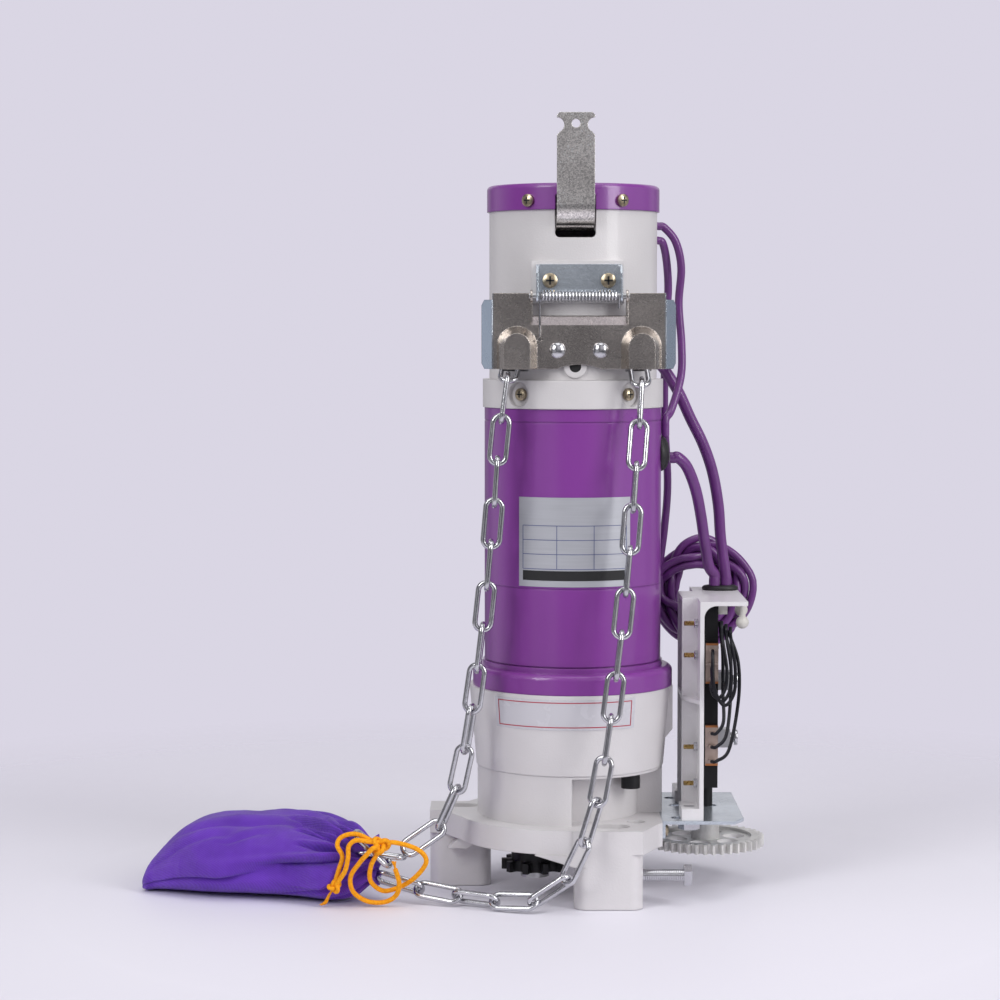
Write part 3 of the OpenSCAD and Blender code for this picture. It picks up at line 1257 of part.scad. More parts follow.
module switch_wires() color("black") for (i = [0 : 2]) {
  p = [wire_x + wire_tops[i], block_y + 4, frame_top - frame_wall - 12 - 3 * i];
  q = [blade_x, blade_y, blade_z(0, 2 - i)];
  sweep(route([p, p + [0, 0, -4], p + [wire_slack[i] / 2, -4, -22], p + [wire_slack[i] / 2, -7, -48],
    [wire_x + wire_slack[i] / 2, blade_y - 4, q[2] + 9], q + [3, -5, 1],
    q + [0, -2.4, 0], q + [0, -1.2, 0], q], 2), wire_t, 8);
}

// Hand chain
link_in = link_l - 2 * wire_d;
link_slack = 0.7;
link_step = link_in - link_slack;
module chain_link() {
  r = (link_w - wire_d) / 2;
  s = link_l - link_w;
  for (e = [0, 1]) mirror([e, 0, 0]) translate([s / 2, 0, 0]) rotate([0, 0, -90])
    rotate_extrude(angle = 180, $fn = 48)
    translate([r, 0]) circle(d = wire_d, $fn = 32);
  for (e = [-1, 1]) translate([-s / 2, e * r, 0]) rotate([0, 90, 0]) cylinder(d = wire_d, h = s, $fn = 32);
}
// A link from a to b, its width in the direction u turned by roll
module link_from(a, b, u, roll) {
  t = unit(b - a);
  v = turned(u, t);
  w = cross(t, v);
  c = (a + b) / 2;
  y = cos(roll) * v + sin(roll) * w;
  z = cross(t, y);
  multmatrix([[t[0], y[0], z[0], c[0]], [t[1], y[1], z[1], c[1]], [t[2], y[2], z[2], c[2]], [0, 0, 0, 1]])
    chain_link();
}
function lengths(p, i = 0, s = 0) = i >= len(p) - 1 ? [s] : concat([s], lengths(p, i + 1,
  s + norm(p[i + 1] - p[i])));
function place(p, l, s) = let (i = max([for (k = [0 : len(p) - 2]) l[k] <= s ? k : 0]))
  p[i] + (p[i + 1] - p[i]) * (s - l[i]) / (l[i + 1] - l[i]);
module chain_along(p, count, roll_a, roll_b) {
  l = lengths(p);
  for (i = [0 : count - 1]) link_from(place(p, l, i * link_step), place(p, l, (i + 1) * link_step),
    [0, 1, 0],
    (i % 2 == 0 ? 0 : 90) + roll_a + (roll_b - roll_a)
      * min(1, max(0, (i / (count - 1) - turn_from_share) / (turn_to_share - turn_from_share))));
}
chain_out = 4.7;
chain_y = plate_y - sheet_t - chain_out;
chain_in_z = window_z + window_h / 2;
left_lean = 6.4;
lead_tilt = [33, 40];
// From a link's centre to the centre of its round end, and to where the next one pulls on it
bend_in = (link_l - link_w) / 2;
link_pull = 1.35;
link_reach = (link_l - wire_d) / 2 + link_pull;
// Pivot where each run hangs, and pivot of the link in the wheel's groove
chain_low = [for (i = [0, 1]) [guide_x + (2 * i - 1) * hood_x - (1 - i) * left_lean, chain_y,
  chain_in_z - 2 * link_reach * sin(lead_tilt[i])]];
chain_mid = [for (i = [0, 1]) let (x = axis_x + (2 * i - 1) * wheel_r, dx = x - chain_low[i][0])
  [x, chain_y + sqrt(pow(2 * link_reach * cos(lead_tilt[i]), 2) - dx * dx), chain_in_z]];
run_top = [for (c = chain_low) c + [0, 0, link_step / 2 - bend_in]];
left_path = [run_top[0], run_top[0] + [-2.4, -1, -18], [-25, -48, 322], [-29, -47, 265], [-34.5, -44, 207],
  [-41, -41, 152], [-50, -38, 96], [-57, -36, 68], [-68, -36, 49], [-85, -36, 38], [-108, -35, 32]];
right_path = [run_top[1], run_top[1] + [-0.6, -1, -18], [68, -52, 312], [64, -56, 256], [58.5, -60, 199],
  [51.5, -65, 142], [43, -70, 85], [36, -73, 59], [28, -73, 37], [17, -71, 17], [2, -69, 8], [-16, -64, 6.2],
  [-44, -50, 6.2], [-72, -37, 8], [-94, -32, 13], [-114, -32, 20]];
turn_from_share = 0.5;
turn_to_share = 0.64;
function link_count(p) = floor(lengths(p)[len(p) - 1] / link_step);
module hand_chain() color("silver") {
  chain_along(left_path, link_count(left_path), 0, 20);
  chain_along(right_path, link_count(right_path), 0, 45);
  // Links that lead back to the wheel
  for (i = [0, 1]) {
    link_from(chain_low[i], chain_mid[i], [1, 0, 0], 0);
    link_from(chain_mid[i], chain_mid[i] + [0, 2 * bend_in, 0], [0, 0, 1], 0);
    link_from(chain_mid[i] + [0, 2 * bend_in, 0], chain_mid[i] + [0, 2 * (bend_in + link_reach), 0],
      [1, 0, 0], 0);
  }
}

// Chain bag and its draw cord
bag_x = -113;
bag_y = -32;
bag_lean = 9;
// Place along the bag, width, lowest and highest point, and sideways bend
bag_shares = [[0, 0.1, 0.02, 0.16, 0.14], [0.02, 0.3, 0, 0.34, 0.2], [0.06, 0.5, 0, 0.52, 0.28],
  [0.12, 0.7, 0, 0.72, 0.33],
  [0.19, 0.86, 0, 0.88, 0.36], [0.28, 0.96, 0, 0.98, 0.36], [0.42, 1, 0, 1, 0.36], [0.58, 0.99, 0, 1,
    0.35], [0.7, 0.92, 0, 0.99, 0.3],
  [0.8, 0.8, 0, 0.96, 0.2], [0.88, 0.6, 0.02, 0.91, 0.11], [0.94, 0.42, 0.08, 0.84, 0.05],
  [1, 0.2, 0.24, 0.72, 0]];
bag_sides = 20;
bag_side_share = 0.75;
bag_low_share = 0.45;
bag_top_share = 0.85;
function bag_ring(s) = [for (k = [0 : bag_sides - 1]) let (a = 360 * k / bag_sides, c = cos(a), q = sin(a))
  [-bag_l * (1 - s[0]), bag_w * (s[4] + s[1] / 2 * sign(c) * pow(abs(c), bag_side_share)),
    bag_h * (s[2] + (s[3] - s[2]) / 2 * (1 + (q < 0 ? -1 : 1) * pow(abs(q), q < 0 ? bag_low_share
      : bag_top_share)))]];
module chain_bag() color("mediumpurple") translate([bag_x, bag_y, 0]) rotate([0, 0, -bag_lean]) {
  p = [for (s = bag_shares) each bag_ring(s)];
  n = bag_sides;
  m = len(bag_shares);
  polyhedron(p, concat([for (i = [0 : m - 2], k = [0 : n - 1]) let (a = i * n + k,
    b = i * n + (k + 1) % n) each [[a, a + n, b], [b, a + n, b + n]]],
    [for (k = [1 : n - 2]) [0, k, k + 1]], [for (k = [1 : n - 2]) let (o = (m - 1) * n) [o, o + k + 1,
      o + k]]));
}
draw_cord = 3.3;
draw_route = [[-137, -52, 17], [-134, -54, 27], [-131.5, -55, 36], [-135, -54, 43.5], [-132, -53, 49],
  [-122, -53, 51], [-108, -54, 45.5], [-95, -55, 45.5], [-80, -57, 41], [-74.5, -57, 33],
  [-81.5, -53, 22], [-92, -48, 14], [-104, -48, 11], [-112.5, -52, 18.5], [-112, -56.5, 30],
  [-104.5, -58, 41], [-113, -60, 38.5], [-120, -58, 32], [-126, -55, 22], [-124.5, -51, 11], [-115, -49, 4],
  [-103, -49, 3.5], [-95, -52, 9], [-93, -56, 18], [-95.5, -58.5, 28]];
module bag_cord() color("orange") sweep(route(draw_route, 2), draw_cord, 8);

base_casting();
reduction_case();
case_screw();
shield_ring();
motor_tube();
stator_core();
stator_winding();
end_bell();
bell_screws();
motor_bearings();
chain_head();
brake_magnet();
brake_armature();
cap();
cap_screws();
lever_pin();
rotor();
rotor_shaft();
chain_wheel();
brake_disc();
lay_gear();
output_shaft();
output_gear();
sprocket();
output_bearings();
output_seal();
release_lever();
guide_bracket();
bracket_screws();
hinge_pin();
torsion_spring();
guide_plate();
guide_rivets();
name_plate();
lower_plate();
tension_bolt();
mounting_angle();
angle_screws();
limit_frame();
frame_bolts();
switch_block();
micro_switches();
switch_screws();
wire_block();
spindle_bush();
guide_rod();
limit_gear();
spindle();
upper_nut();
lower_nut();
gland_rubbers();
motor_cable();
supply_cable();
brake_cable();
hank_lead();
cable_hank();
switch_wires();
hand_chain();
chain_bag();
bag_cord();
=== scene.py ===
# Roller-door operator: looks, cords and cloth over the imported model.
import json
import math
import bpy
from mathutils import Vector, Matrix, noise, kdtree


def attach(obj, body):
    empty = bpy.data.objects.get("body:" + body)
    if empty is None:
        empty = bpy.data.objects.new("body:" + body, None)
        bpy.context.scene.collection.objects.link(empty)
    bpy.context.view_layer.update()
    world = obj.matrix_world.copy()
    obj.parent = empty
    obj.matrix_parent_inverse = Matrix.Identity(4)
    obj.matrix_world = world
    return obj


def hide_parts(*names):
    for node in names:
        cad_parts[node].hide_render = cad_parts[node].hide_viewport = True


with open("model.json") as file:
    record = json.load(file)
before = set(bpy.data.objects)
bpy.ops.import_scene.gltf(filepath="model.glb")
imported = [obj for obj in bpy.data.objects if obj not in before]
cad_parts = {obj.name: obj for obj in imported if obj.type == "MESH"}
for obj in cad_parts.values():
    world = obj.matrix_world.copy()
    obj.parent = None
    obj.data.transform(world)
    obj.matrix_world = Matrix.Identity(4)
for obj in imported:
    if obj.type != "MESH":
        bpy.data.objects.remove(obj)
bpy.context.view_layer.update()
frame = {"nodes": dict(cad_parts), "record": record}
MM = 0.001

# Camera, solved from the feet, the plate, the chain and the bag in the photograph
CAMERA_AT = (-0.0245, -1.8683, 0.3994)
CAMERA_DOWN = 3.81
cam_data = bpy.data.cameras.new("photo_camera")
cam_data.sensor_width = 36.0
cam_data.lens = 97.2
cam_data.clip_end = 20.0
cam = bpy.data.objects.new("photo_camera", cam_data)
cam.location = CAMERA_AT
cam.rotation_euler = (math.radians(90.0 - CAMERA_DOWN), 0.0, 0.0)
bpy.context.scene.collection.objects.link(cam)
bpy.context.scene.camera = cam
bpy.context.scene.view_settings.view_transform = "Standard"


# Shader nodes
def new_mat(name):
    """A new material, its node tree and its shader."""
    m = bpy.data.materials.new(name)
    m.use_nodes = True
    nt = m.node_tree
    return m, nt, nt.nodes["Principled BSDF"]


def add_node(nt, kind, values=None, links=None, operation=None):
    """A shader node, with values for some of its inputs and links from other nodes into others."""
    made = nt.nodes.new("ShaderNode" + kind)
    if operation:
        made.operation = operation
    for socket, value in (values or {}).items():
        made.inputs[socket].default_value = value
    for socket, source in (links or {}).items():
        nt.links.new(source, made.inputs[socket])
    return made


def noise_node(nt, vector, scale, detail):
    return add_node(nt, "TexNoise", {"Scale": scale, "Detail": detail}, {"Vector": vector})


def ramp_node(nt, factor, stops, colors):
    """A blend from one colour to another between two stops."""
    ramp = add_node(nt, "ValToRGB", links={"Fac": factor})
    for element, stop, color in zip(ramp.color_ramp.elements, stops, colors):
        element.position = stop
        element.color = (*color, 1)
    return ramp


def scaled(nt, color, factor):
    """A colour made brighter or darker by a factor."""
    node = add_node(nt, "VectorMath", links={0: color, "Scale": factor}, operation="SCALE")
    return node.outputs["Vector"]


# Materials
def speckled(nt, vector, color, grain, scale):
    """Small crystals that differ in brightness, as on zinc."""
    cells = add_node(nt, "TexVoronoi", {"Scale": scale}, {"Vector": vector})
    split = add_node(nt, "SeparateColor", links={"Color": cells.outputs["Color"]})
    factor = add_node(nt, "MapRange", {"To Min": 1.0 - grain, "To Max": 1.0 + grain},
                      {"Value": split.outputs["Red"]})
    return scaled(nt, color, factor.outputs["Result"])


def pbr(name, color, rough=0.5, metal=0.0, var=0.06, var_scale=30.0, bump=0.0, bump_scale=400.0,
        rough_var=0.08, coat=0.0, stretch=(1, 1, 1), grain=0.0, grain_scale=900.0, spec=0.5, edge=0.0):
    """A finish with its own mottling, roughness change and fine relief."""
    m, nt, bsdf = new_mat(name)
    bsdf.inputs["Metallic"].default_value = metal
    bsdf.inputs["Specular IOR Level"].default_value = spec
    if coat:
        bsdf.inputs["Coat Weight"].default_value = coat
        bsdf.inputs["Coat Roughness"].default_value = 0.08
    coords = add_node(nt, "TexCoord")
    mapping = add_node(nt, "Mapping", {"Scale": stretch}, {"Vector": coords.outputs["Object"]})
    vector = mapping.outputs["Vector"]
    mottle = noise_node(nt, vector, var_scale, 4.0)
    low = [max(0.0, c * (1.0 - var)) for c in color]
    high = [min(1.0, c * (1.0 + var)) for c in color]
    shade = ramp_node(nt, mottle.outputs["Fac"], (0.35, 0.65), (low, high)).outputs["Color"]
    if grain:
        shade = speckled(nt, vector, shade, grain, grain_scale)
    nt.links.new(shade, bsdf.inputs["Base Color"])
    wear = noise_node(nt, vector, var_scale * 2.7, 5.0)
    gloss_range = {"To Min": max(0.02, rough - rough_var), "To Max": min(1.0, rough + rough_var)}
    gloss = add_node(nt, "MapRange", gloss_range, {"Value": wear.outputs["Fac"]})
    nt.links.new(gloss.outputs["Result"], bsdf.inputs["Roughness"])
    if bump:
        relief = noise_node(nt, vector, bump_scale, 3.0)
        raised = add_node(nt, "Bump", {"Strength": bump, "Distance": 0.0004}, {"Height": relief.outputs["Fac"]})
        nt.links.new(raised.outputs["Normal"], bsdf.inputs["Normal"])
        if edge:
            # Broken edges, as paint and pressed sheet have
            bevel = add_node(nt, "Bevel", {"Radius": edge})
            bevel.samples = 4
            nt.links.new(bevel.outputs["Normal"], raised.inputs["Normal"])
    return m


MAT = {
    "white_paint": pbr("white_paint", (0.67, 0.648, 0.656), 0.42, var=0.02, bump=0.35, bump_scale=900,
                       coat=0.25, edge=0.0012),
    # Painted light: a lighter copy of the white paint for the limit frame, brightened to make up for the shade
    # it gets under these lamps
    "frame_paint": pbr("frame_paint", (0.76, 0.745, 0.76), 0.42, var=0.02, bump=0.3, bump_scale=900,
                       coat=0.25, edge=0.0008),
    "purple_paint": pbr("purple_paint", (0.225, 0.044, 0.300), 0.30, var=0.05, var_scale=8, bump=0.12,
                        bump_scale=600, coat=0.35, edge=0.0012),
    "zinc_sheet": pbr("zinc_sheet", (0.49, 0.452, 0.42), 0.27, 1.0, var=0.13, var_scale=24, grain=0.16,
                      grain_scale=1400, bump=0.16, bump_scale=1300, rough_var=0.08, edge=0.0008),
    "blue_zinc": pbr("blue_zinc", (0.60, 0.655, 0.71), 0.25, 0.8, var=0.16, var_scale=16, grain=0.07,
                     bump=0.1, bump_scale=900, edge=0.0007),
    "bright_steel": pbr("bright_steel", (0.56, 0.56, 0.585), 0.19, 1.0, var=0.10, var_scale=70, bump=0.15),
    "machined_steel": pbr("machined_steel", (0.50, 0.50, 0.51), 0.32, 1.0, var=0.08),
    "yellow_zinc": pbr("yellow_zinc", (0.44, 0.37, 0.26), 0.30, 1.0, var=0.30, var_scale=260),
    "black_oxide": pbr("black_oxide", (0.018, 0.018, 0.020), 0.42, 0.6, var=0.3, bump=0.2),
    "lamination": pbr("lamination", (0.22, 0.22, 0.23), 0.5, 0.9, stretch=(1, 1, 60)),
    "copper_wire": pbr("copper_wire", (0.55, 0.22, 0.09), 0.35, 0.9),
    "cast_gear": pbr("cast_gear", (0.70, 0.69, 0.67), 0.48, 0.40, var=0.10, var_scale=90, bump=0.5,
                     bump_scale=700),
    "black_plastic": pbr("black_plastic", (0.010, 0.010, 0.011), 0.45, var=0.3, spec=0.2),
    "tan_plastic": pbr("tan_plastic", (0.40, 0.31, 0.27), 0.28, var=0.12, coat=0.5),
    "white_plastic": pbr("white_plastic", (0.62, 0.60, 0.56), 0.45, var=0.05),
    "brass": pbr("brass", (0.55, 0.43, 0.22), 0.28, 1.0, var=0.2, var_scale=200),
    "label": pbr("label", (0.50, 0.51, 0.55), 0.38, 0.35, var=0.03, stretch=(1, 1, 20)),
    "strip": pbr("strip", (0.60, 0.59, 0.63), 0.26, var=0.02, coat=0.5),
    "black_rubber": pbr("black_rubber", (0.012, 0.011, 0.013), 0.50, var=0.3, bump=0.3),
    "purple_cable": pbr("purple_cable", (0.150, 0.036, 0.205), 0.36, var=0.08, var_scale=60, coat=0.25,
                        bump=0.15, bump_scale=500),
    "black_wire": pbr("black_wire", (0.006, 0.006, 0.010), 0.30, var=0.2, spec=0.3),
    "orange_cord": pbr("orange_cord", (1.0, 0.36, 0.006), 0.66, var=0.18, spec=0.25, var_scale=700, bump=1.0,
                       bump_scale=1500),
    "red_line": pbr("red_line", (0.45, 0.03, 0.06), 0.35, var=0.05),
    "table_ink": pbr("table_ink", (0.10, 0.12, 0.26), 0.45, var=0.05),
    # Painted highlight: a brighter copy of the zinc for the lever, standing in for the light it catches; its
    # grain is the zinc's own
    "lever_zinc": pbr("lever_zinc", (0.76, 0.73, 0.70), 0.30, 1.0, var=0.12, var_scale=40, grain=0.34,
                      grain_scale=1300, bump=0.12, bump_scale=1300, edge=0.0006),
    # Near-black used as painted shade in the head's boss and the screw recesses, and as the printed band on the
    # name plate
    "dark_gap": pbr("dark_gap", (0.010, 0.010, 0.011), 0.6, var=0.2),
}


def refinish(node, finish):
    """Gives a CAD node another finish."""
    for part_slot in frame["nodes"][node].material_slots:
        part_slot.material = finish


slots = {s["node"]: s["material_slot"] for s in frame["record"]["subparts"]}
for node, ob in frame["nodes"].items():
    finish = MAT.get(slots.get(node))
    if finish is None:
        continue
    if not ob.data.materials:
        ob.data.materials.append(finish)
    refinish(node, finish)


# Curves and tubes
def rom(a, b, c, d, t):
    """A point between b and c on a smooth curve through a, b, c and d."""
    return [0.5 * (2 * b[i] + (c[i] - a[i]) * t + (2 * a[i] - 5 * b[i] + 4 * c[i] - d[i]) * t * t
                   + (3 * b[i] - a[i] - 3 * c[i] + d[i]) * t ** 3) for i in range(3)]


def route(pts, steps=8):
    """A smooth line through points."""
    out = []
    n = len(pts)
    for i in range(n - 1):
        for k in range(steps):
            out.append(rom(pts[max(i - 1, 0)], pts[i], pts[i + 1], pts[min(i + 2, n - 1)], k / steps))
    out.append(list(pts[-1]))
    return out


def add(a, b):
    return [a[i] + b[i] for i in range(3)]


def finish_piece(ob, body, nodes=()):
    bpy.context.scene.collection.objects.link(ob)
    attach(ob, body)
    for n in nodes:
        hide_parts(n)
    return ob


def cord_curve(name, pts_mm, d_mm, slot, nodes=()):
    """A round cord along points in millimetres."""
    cu = bpy.data.curves.new(name, "CURVE")
    cu.dimensions = "3D"
    cu.bevel_depth = d_mm / 2 * MM
    cu.bevel_resolution = 5
    cu.use_fill_caps = True
    sp = cu.splines.new("POLY")
    sp.points.add(len(pts_mm) - 1)
    for p, q in zip(sp.points, pts_mm):
        p.co = (q[0] * MM, q[1] * MM, q[2] * MM, 1.0)
    sp.use_smooth = True
    cu.materials.append(MAT[slot])
    return finish_piece(bpy.data.objects.new(name, cu), "housing", nodes)


def mesh_piece(name, verts_mm, faces, slot, body="housing", nodes=(), smooth=True, mat=None):
    me = bpy.data.meshes.new(name)
    me.from_pydata([tuple(c * MM for c in v) for v in verts_mm], [], faces)
    me.update()
    if smooth:
        for p in me.polygons:
            p.use_smooth = True
    me.materials.append(MAT[mat or slot])
    return finish_piece(bpy.data.objects.new(name, me), body, nodes)


def skin(faces, base, rings, sides, closed=False):
    """Adds the faces between rings of vertices, and both end caps unless the rings close on themselves."""
    for i in range(rings if closed else rings - 1):
        j = (i + 1) % rings
        for k in range(sides):
            right = (k + 1) % sides
            faces.append((base + i * sides + k, base + i * sides + right,
                          base + j * sides + right, base + j * sides + k))
    if not closed:
        faces.append(tuple(base + k for k in reversed(range(sides))))
        faces.append(tuple(base + (rings - 1) * sides + k for k in range(sides)))


def tube_parts(parts, pts, radius, sides=12, closed=False):
    """Adds a round tube along points to parts, a pair of vertices and faces."""
    verts, faces = parts
    base = len(verts)
    n = len(pts)
    up = Vector((0.3, 0.2, 1.0))
    for i in range(n):
        a = Vector(pts[(i - 1) % n] if closed or i else pts[0])
        b = Vector(pts[(i + 1) % n] if closed or i < n - 1 else pts[-1])
        t = (b - a).normalized()
        up = (up - t * up.dot(t)).normalized()
        side = t.cross(up)
        r = radius(i / (n - 1)) if callable(radius) else radius
        for k in range(sides):
            g = 2 * math.pi * k / sides
            verts.append(tuple(Vector(pts[i]) + (up * math.cos(g) + side * math.sin(g)) * r))
    skin(faces, base, n, sides, closed)


def lathe_parts(parts, profile, origin, axis, sides=32):
    """Adds a turned shape: profile is a list of radius and height along axis. Six sides make it a hexagon."""
    verts, faces = parts
    base = len(verts)
    rot = Vector(axis).to_track_quat("Z", "Y").to_matrix()
    for r, h in profile:
        for k in range(sides):
            g = 2 * math.pi * k / sides
            verts.append(tuple(Vector(origin) + rot @ Vector((r * math.cos(g), r * math.sin(g), h))))
    skin(faces, base, len(profile), sides)


BOX_FACES = ((3, 2, 1, 0), (4, 5, 6, 7), (0, 1, 5, 4), (1, 2, 6, 5), (2, 3, 7, 6), (3, 0, 4, 7))


def box_parts(parts, low, high):
    verts, faces = parts
    base = len(verts)
    for z in (low[2], high[2]):
        verts += [(low[0], low[1], z), (high[0], low[1], z), (high[0], high[1], z), (low[0], high[1], z)]
    for f in BOX_FACES:
        faces.append(tuple(base + i for i in f))


# Cords, in millimetres as in the part's source
AX, AY = 26.5, 21.5
TUBE_R = 61.8
HEAD_R = 58.7
FRAME_TOP = 206.1
RUBBER_Z, RUBBER_R, RUBBER_T = 306.3, 12.5, 6.0
THICK, THIN = 8.0, 5.6
motor_gland = [AX + TUBE_R + RUBBER_T, AY, RUBBER_Z - 3]
frame_gland = [134.2, 63.2, FRAME_TOP + 3]


def head_gland(turn, z):
    """A cable's way out of the head, turned in degrees from its right side."""
    return [AX + HEAD_R * math.cos(math.radians(turn)), AY + HEAD_R * math.sin(math.radians(turn)), z]


def free_cord(name, pts, d, slot, nodes=()):
    ob = cord_curve(name, pts, d, slot, nodes)


motor_route = [motor_gland, add(motor_gland, [3, 0, 0]), add(motor_gland, [6, 0, 0]),
               [107, 25, 296.1], [113.5, 32, 280.1], [118, 42, 261.1], [121.5, 51, 241.1], [125, 58.5, 224.1],
               add(frame_gland, [-4.8, -1, 8]), add(frame_gland, [-4.8, -1, 4]),
               add(frame_gland, [-4.8, -1, 0])]
free_cord("motor_lead", route(motor_route), THICK, "purple_cable", ["motor_cable"])
supply_gland = head_gland(24, 371.6)
supply_route = [supply_gland, add(supply_gland, [4, 1.8, -0.5]),
                [91, 49, 366.1], [102, 52, 349.1], [111, 55, 330.1], [120.5, 58, 311.1], [127.5, 61, 291.1],
                [132, 63, 267.1], [134, 65, 243.1],
                add(frame_gland, [3.4, 2.4, 8]), add(frame_gland, [3.4, 2.4, 4]),
                add(frame_gland, [3.4, 2.4, 0])]
free_cord("supply_lead", route(supply_route), THICK, "purple_cable", ["supply_cable"])
brake_start = head_gland(12, 465.1)
brake_gland = [AX + TUBE_R + 3, AY, RUBBER_Z + RUBBER_R + 0.02]
brake_route = [brake_start, add(brake_start, [3, 0.6, 0]), add(brake_start, [7, 1.4, -1]),
               [99, 36, 454.1], [103, 38, 436.1], [101.5, 40, 411.1], [103.5, 39, 383.1], [103, 36, 360.1],
               [96, 28, 337.1], add(brake_gland, [0.4, 0.5, 12]), add(brake_gland, [0, 0, 6]),
               add(brake_gland, [0, 0, 3]), brake_gland]
free_cord("brake_lead", route(brake_route), THIN, "purple_cable", ["brake_cable"])

# Loosely wound hank behind the limit unit: place, size, turns, and how far apart its turns are kept
HX, HZ, HY, HW, HT = 123.0, 200.6, 90.7, 74.0, 76.0
TURNS, PER_TURN, APART = 8, 64, 5.95
# How far a turn strays inwards in two waves, sideways, and in depth
INSET, RIPPLE, DRIFT, DEPTH = 4.5, 1.8, 3.0, 5.5
# Last steps without smoothing, so that the turns end up apart
TRIES, UNSMOOTHED = 150, 25


def hank_point(k):
    """A point of the hank after k turns, before its turns are moved apart."""
    a = math.radians(180 + 360 * k)
    in_w = INSET + INSET * math.sin(1.93 * k + 0.4) + RIPPLE * math.sin(5.1 * k)
    in_t = INSET + INSET * math.sin(2.61 * k + 2.0) + RIPPLE * math.cos(4.3 * k)
    x = HX + (HW / 2 - in_w) * math.cos(a) + DRIFT * math.sin(1.37 * k)
    z = HZ + (HT / 2 - in_t) * math.sin(a) + DRIFT * math.sin(1.11 * k + 1.0)
    y = HY + THIN / 2 + DEPTH + DEPTH * math.sin(2.23 * k * math.pi + 3.9)
    return [x, y, z]


def loosen(pts, fixed):
    """Moves the turns apart, so that they lie beside each other."""
    pts = [Vector(p) for p in pts]
    n = len(pts)
    near = int(3.2 * APART / (math.pi * HW / PER_TURN))
    for step in range(TRIES):
        tree = kdtree.KDTree(n)
        for i, p in enumerate(pts):
            tree.insert(p, i)
        tree.balance()
        move = [Vector((0, 0, 0)) for p in pts]
        for i, p in enumerate(pts):
            for q, j, dist in tree.find_range(p, APART):
                if abs(i - j) > near:
                    away = p - q
                    away.y = away.y * 1.6 + (0.05 if i > j else -0.05)
                    move[i] += away.normalized() * (APART - dist) * 0.30
        for i in range(fixed, n):
            pts[i] = pts[i] + move[i]
            if 0 < i < n - 1 and step < TRIES - UNSMOOTHED:
                pts[i] = pts[i] * 0.8 + (pts[i - 1] + pts[i + 1]) * 0.1
            pts[i].y = max(pts[i].y, HY + THIN / 2)
    return [list(p) for p in pts]


hank_pts = loosen([hank_point(i / PER_TURN) for i in range(TURNS * PER_TURN - 12)], 3)
control_start = head_gland(12, 455.1)
control_route = [control_start, add(control_start, [3, 0.6, 0]), add(control_start, [6, 2, -2]),
                 [93, 44, 441.1], [95, 56, 421.1], [94, 66, 393.1], [94, 78, 333.1], [97, 86, 283.1],
                 add(hank_pts[0], [3, -3, 46]), add(hank_pts[0], [0, 0, 20]), add(hank_pts[0], [0, 0, 10])]
free_cord("control_lead", route(control_route) + hank_pts, THIN, "purple_cable", ["hank_lead", "cable_hank"])

# Thin wires from the plug under the frame's top to the two switches
BLOCK_X, BLOCK_Y, ANGLE_TOP = 116.2, -11.3, 54.0
SWITCH_Z, SWITCH_H = [37.57, 94.76], 27.8
SWITCH_LEFT, SWITCH_RIGHT, SWITCH_OUT = 1.4, 10.3, 2.6
BLADES, BLADE_T, BLADE_OUT = [0.1, 0.46, 0.8], 0.8, 3.4
WIRE_D = 2.4
wire_x = BLOCK_X + SWITCH_RIGHT + 1.6
blade_x = BLOCK_X + SWITCH_LEFT + (SWITCH_RIGHT - SWITCH_LEFT) / 2
blade_y = BLOCK_Y - SWITCH_OUT - BLADE_OUT - 0.02


def blade_end(switch, blade):
    """Tip of one of a switch's three blades, counted from below."""
    return [blade_x, blade_y, ANGLE_TOP + SWITCH_Z[switch] + SWITCH_H * BLADES[blade] + BLADE_T]


for i, (across, slack) in enumerate(((0, 3), (3.4, 7), (6.8, 11))):
    p = [wire_x + across, BLOCK_Y + 4, FRAME_TOP - 3 - 12 - 3 * i]
    q = blade_end(0, 2 - i)
    pts = [p, add(p, [0, 0, -4]), add(p, [slack / 2, -4, -22]), add(p, [slack / 2, -7, -48]),
           [wire_x + slack / 2, blade_y - 4, q[2] + 9], add(q, [3, -5, 1]), add(q, [0, -2.4, 0]),
           add(q, [0, -1.2, 0]), q]
    free_cord("switch_wire_%d" % i, route(pts), WIRE_D, "black_wire", ["switch_wires"])
for i in range(3):
    p = [wire_x + 0.6 + 3.0 * i, BLOCK_Y - 1.2, FRAME_TOP - 14 - 2 * i]
    q = blade_end(1, i)
    out = 2.9 * i
    pts = [p, add(p, [0, -1, -5]), [129 + out, -20 - 0.5 * i, 178], [131.5 + out, -23, 160],
           [130.5 + out, -24.5, 147 - 2 * i], [126.5 + out * 0.5, -25.5, 140.5 - 2.7 * i],
           [122.5, -26 - 0.6 * i, 142 + 3 * i], [120.5 + 0.6 * i, -25 + 0.3 * i, q[2] - 4],
           add(q, [0, -2.6, 0]), add(q, [0, -1.2, 0]), q]
    free_cord("upper_wire_%d" % i, route(pts), WIRE_D, "black_wire")

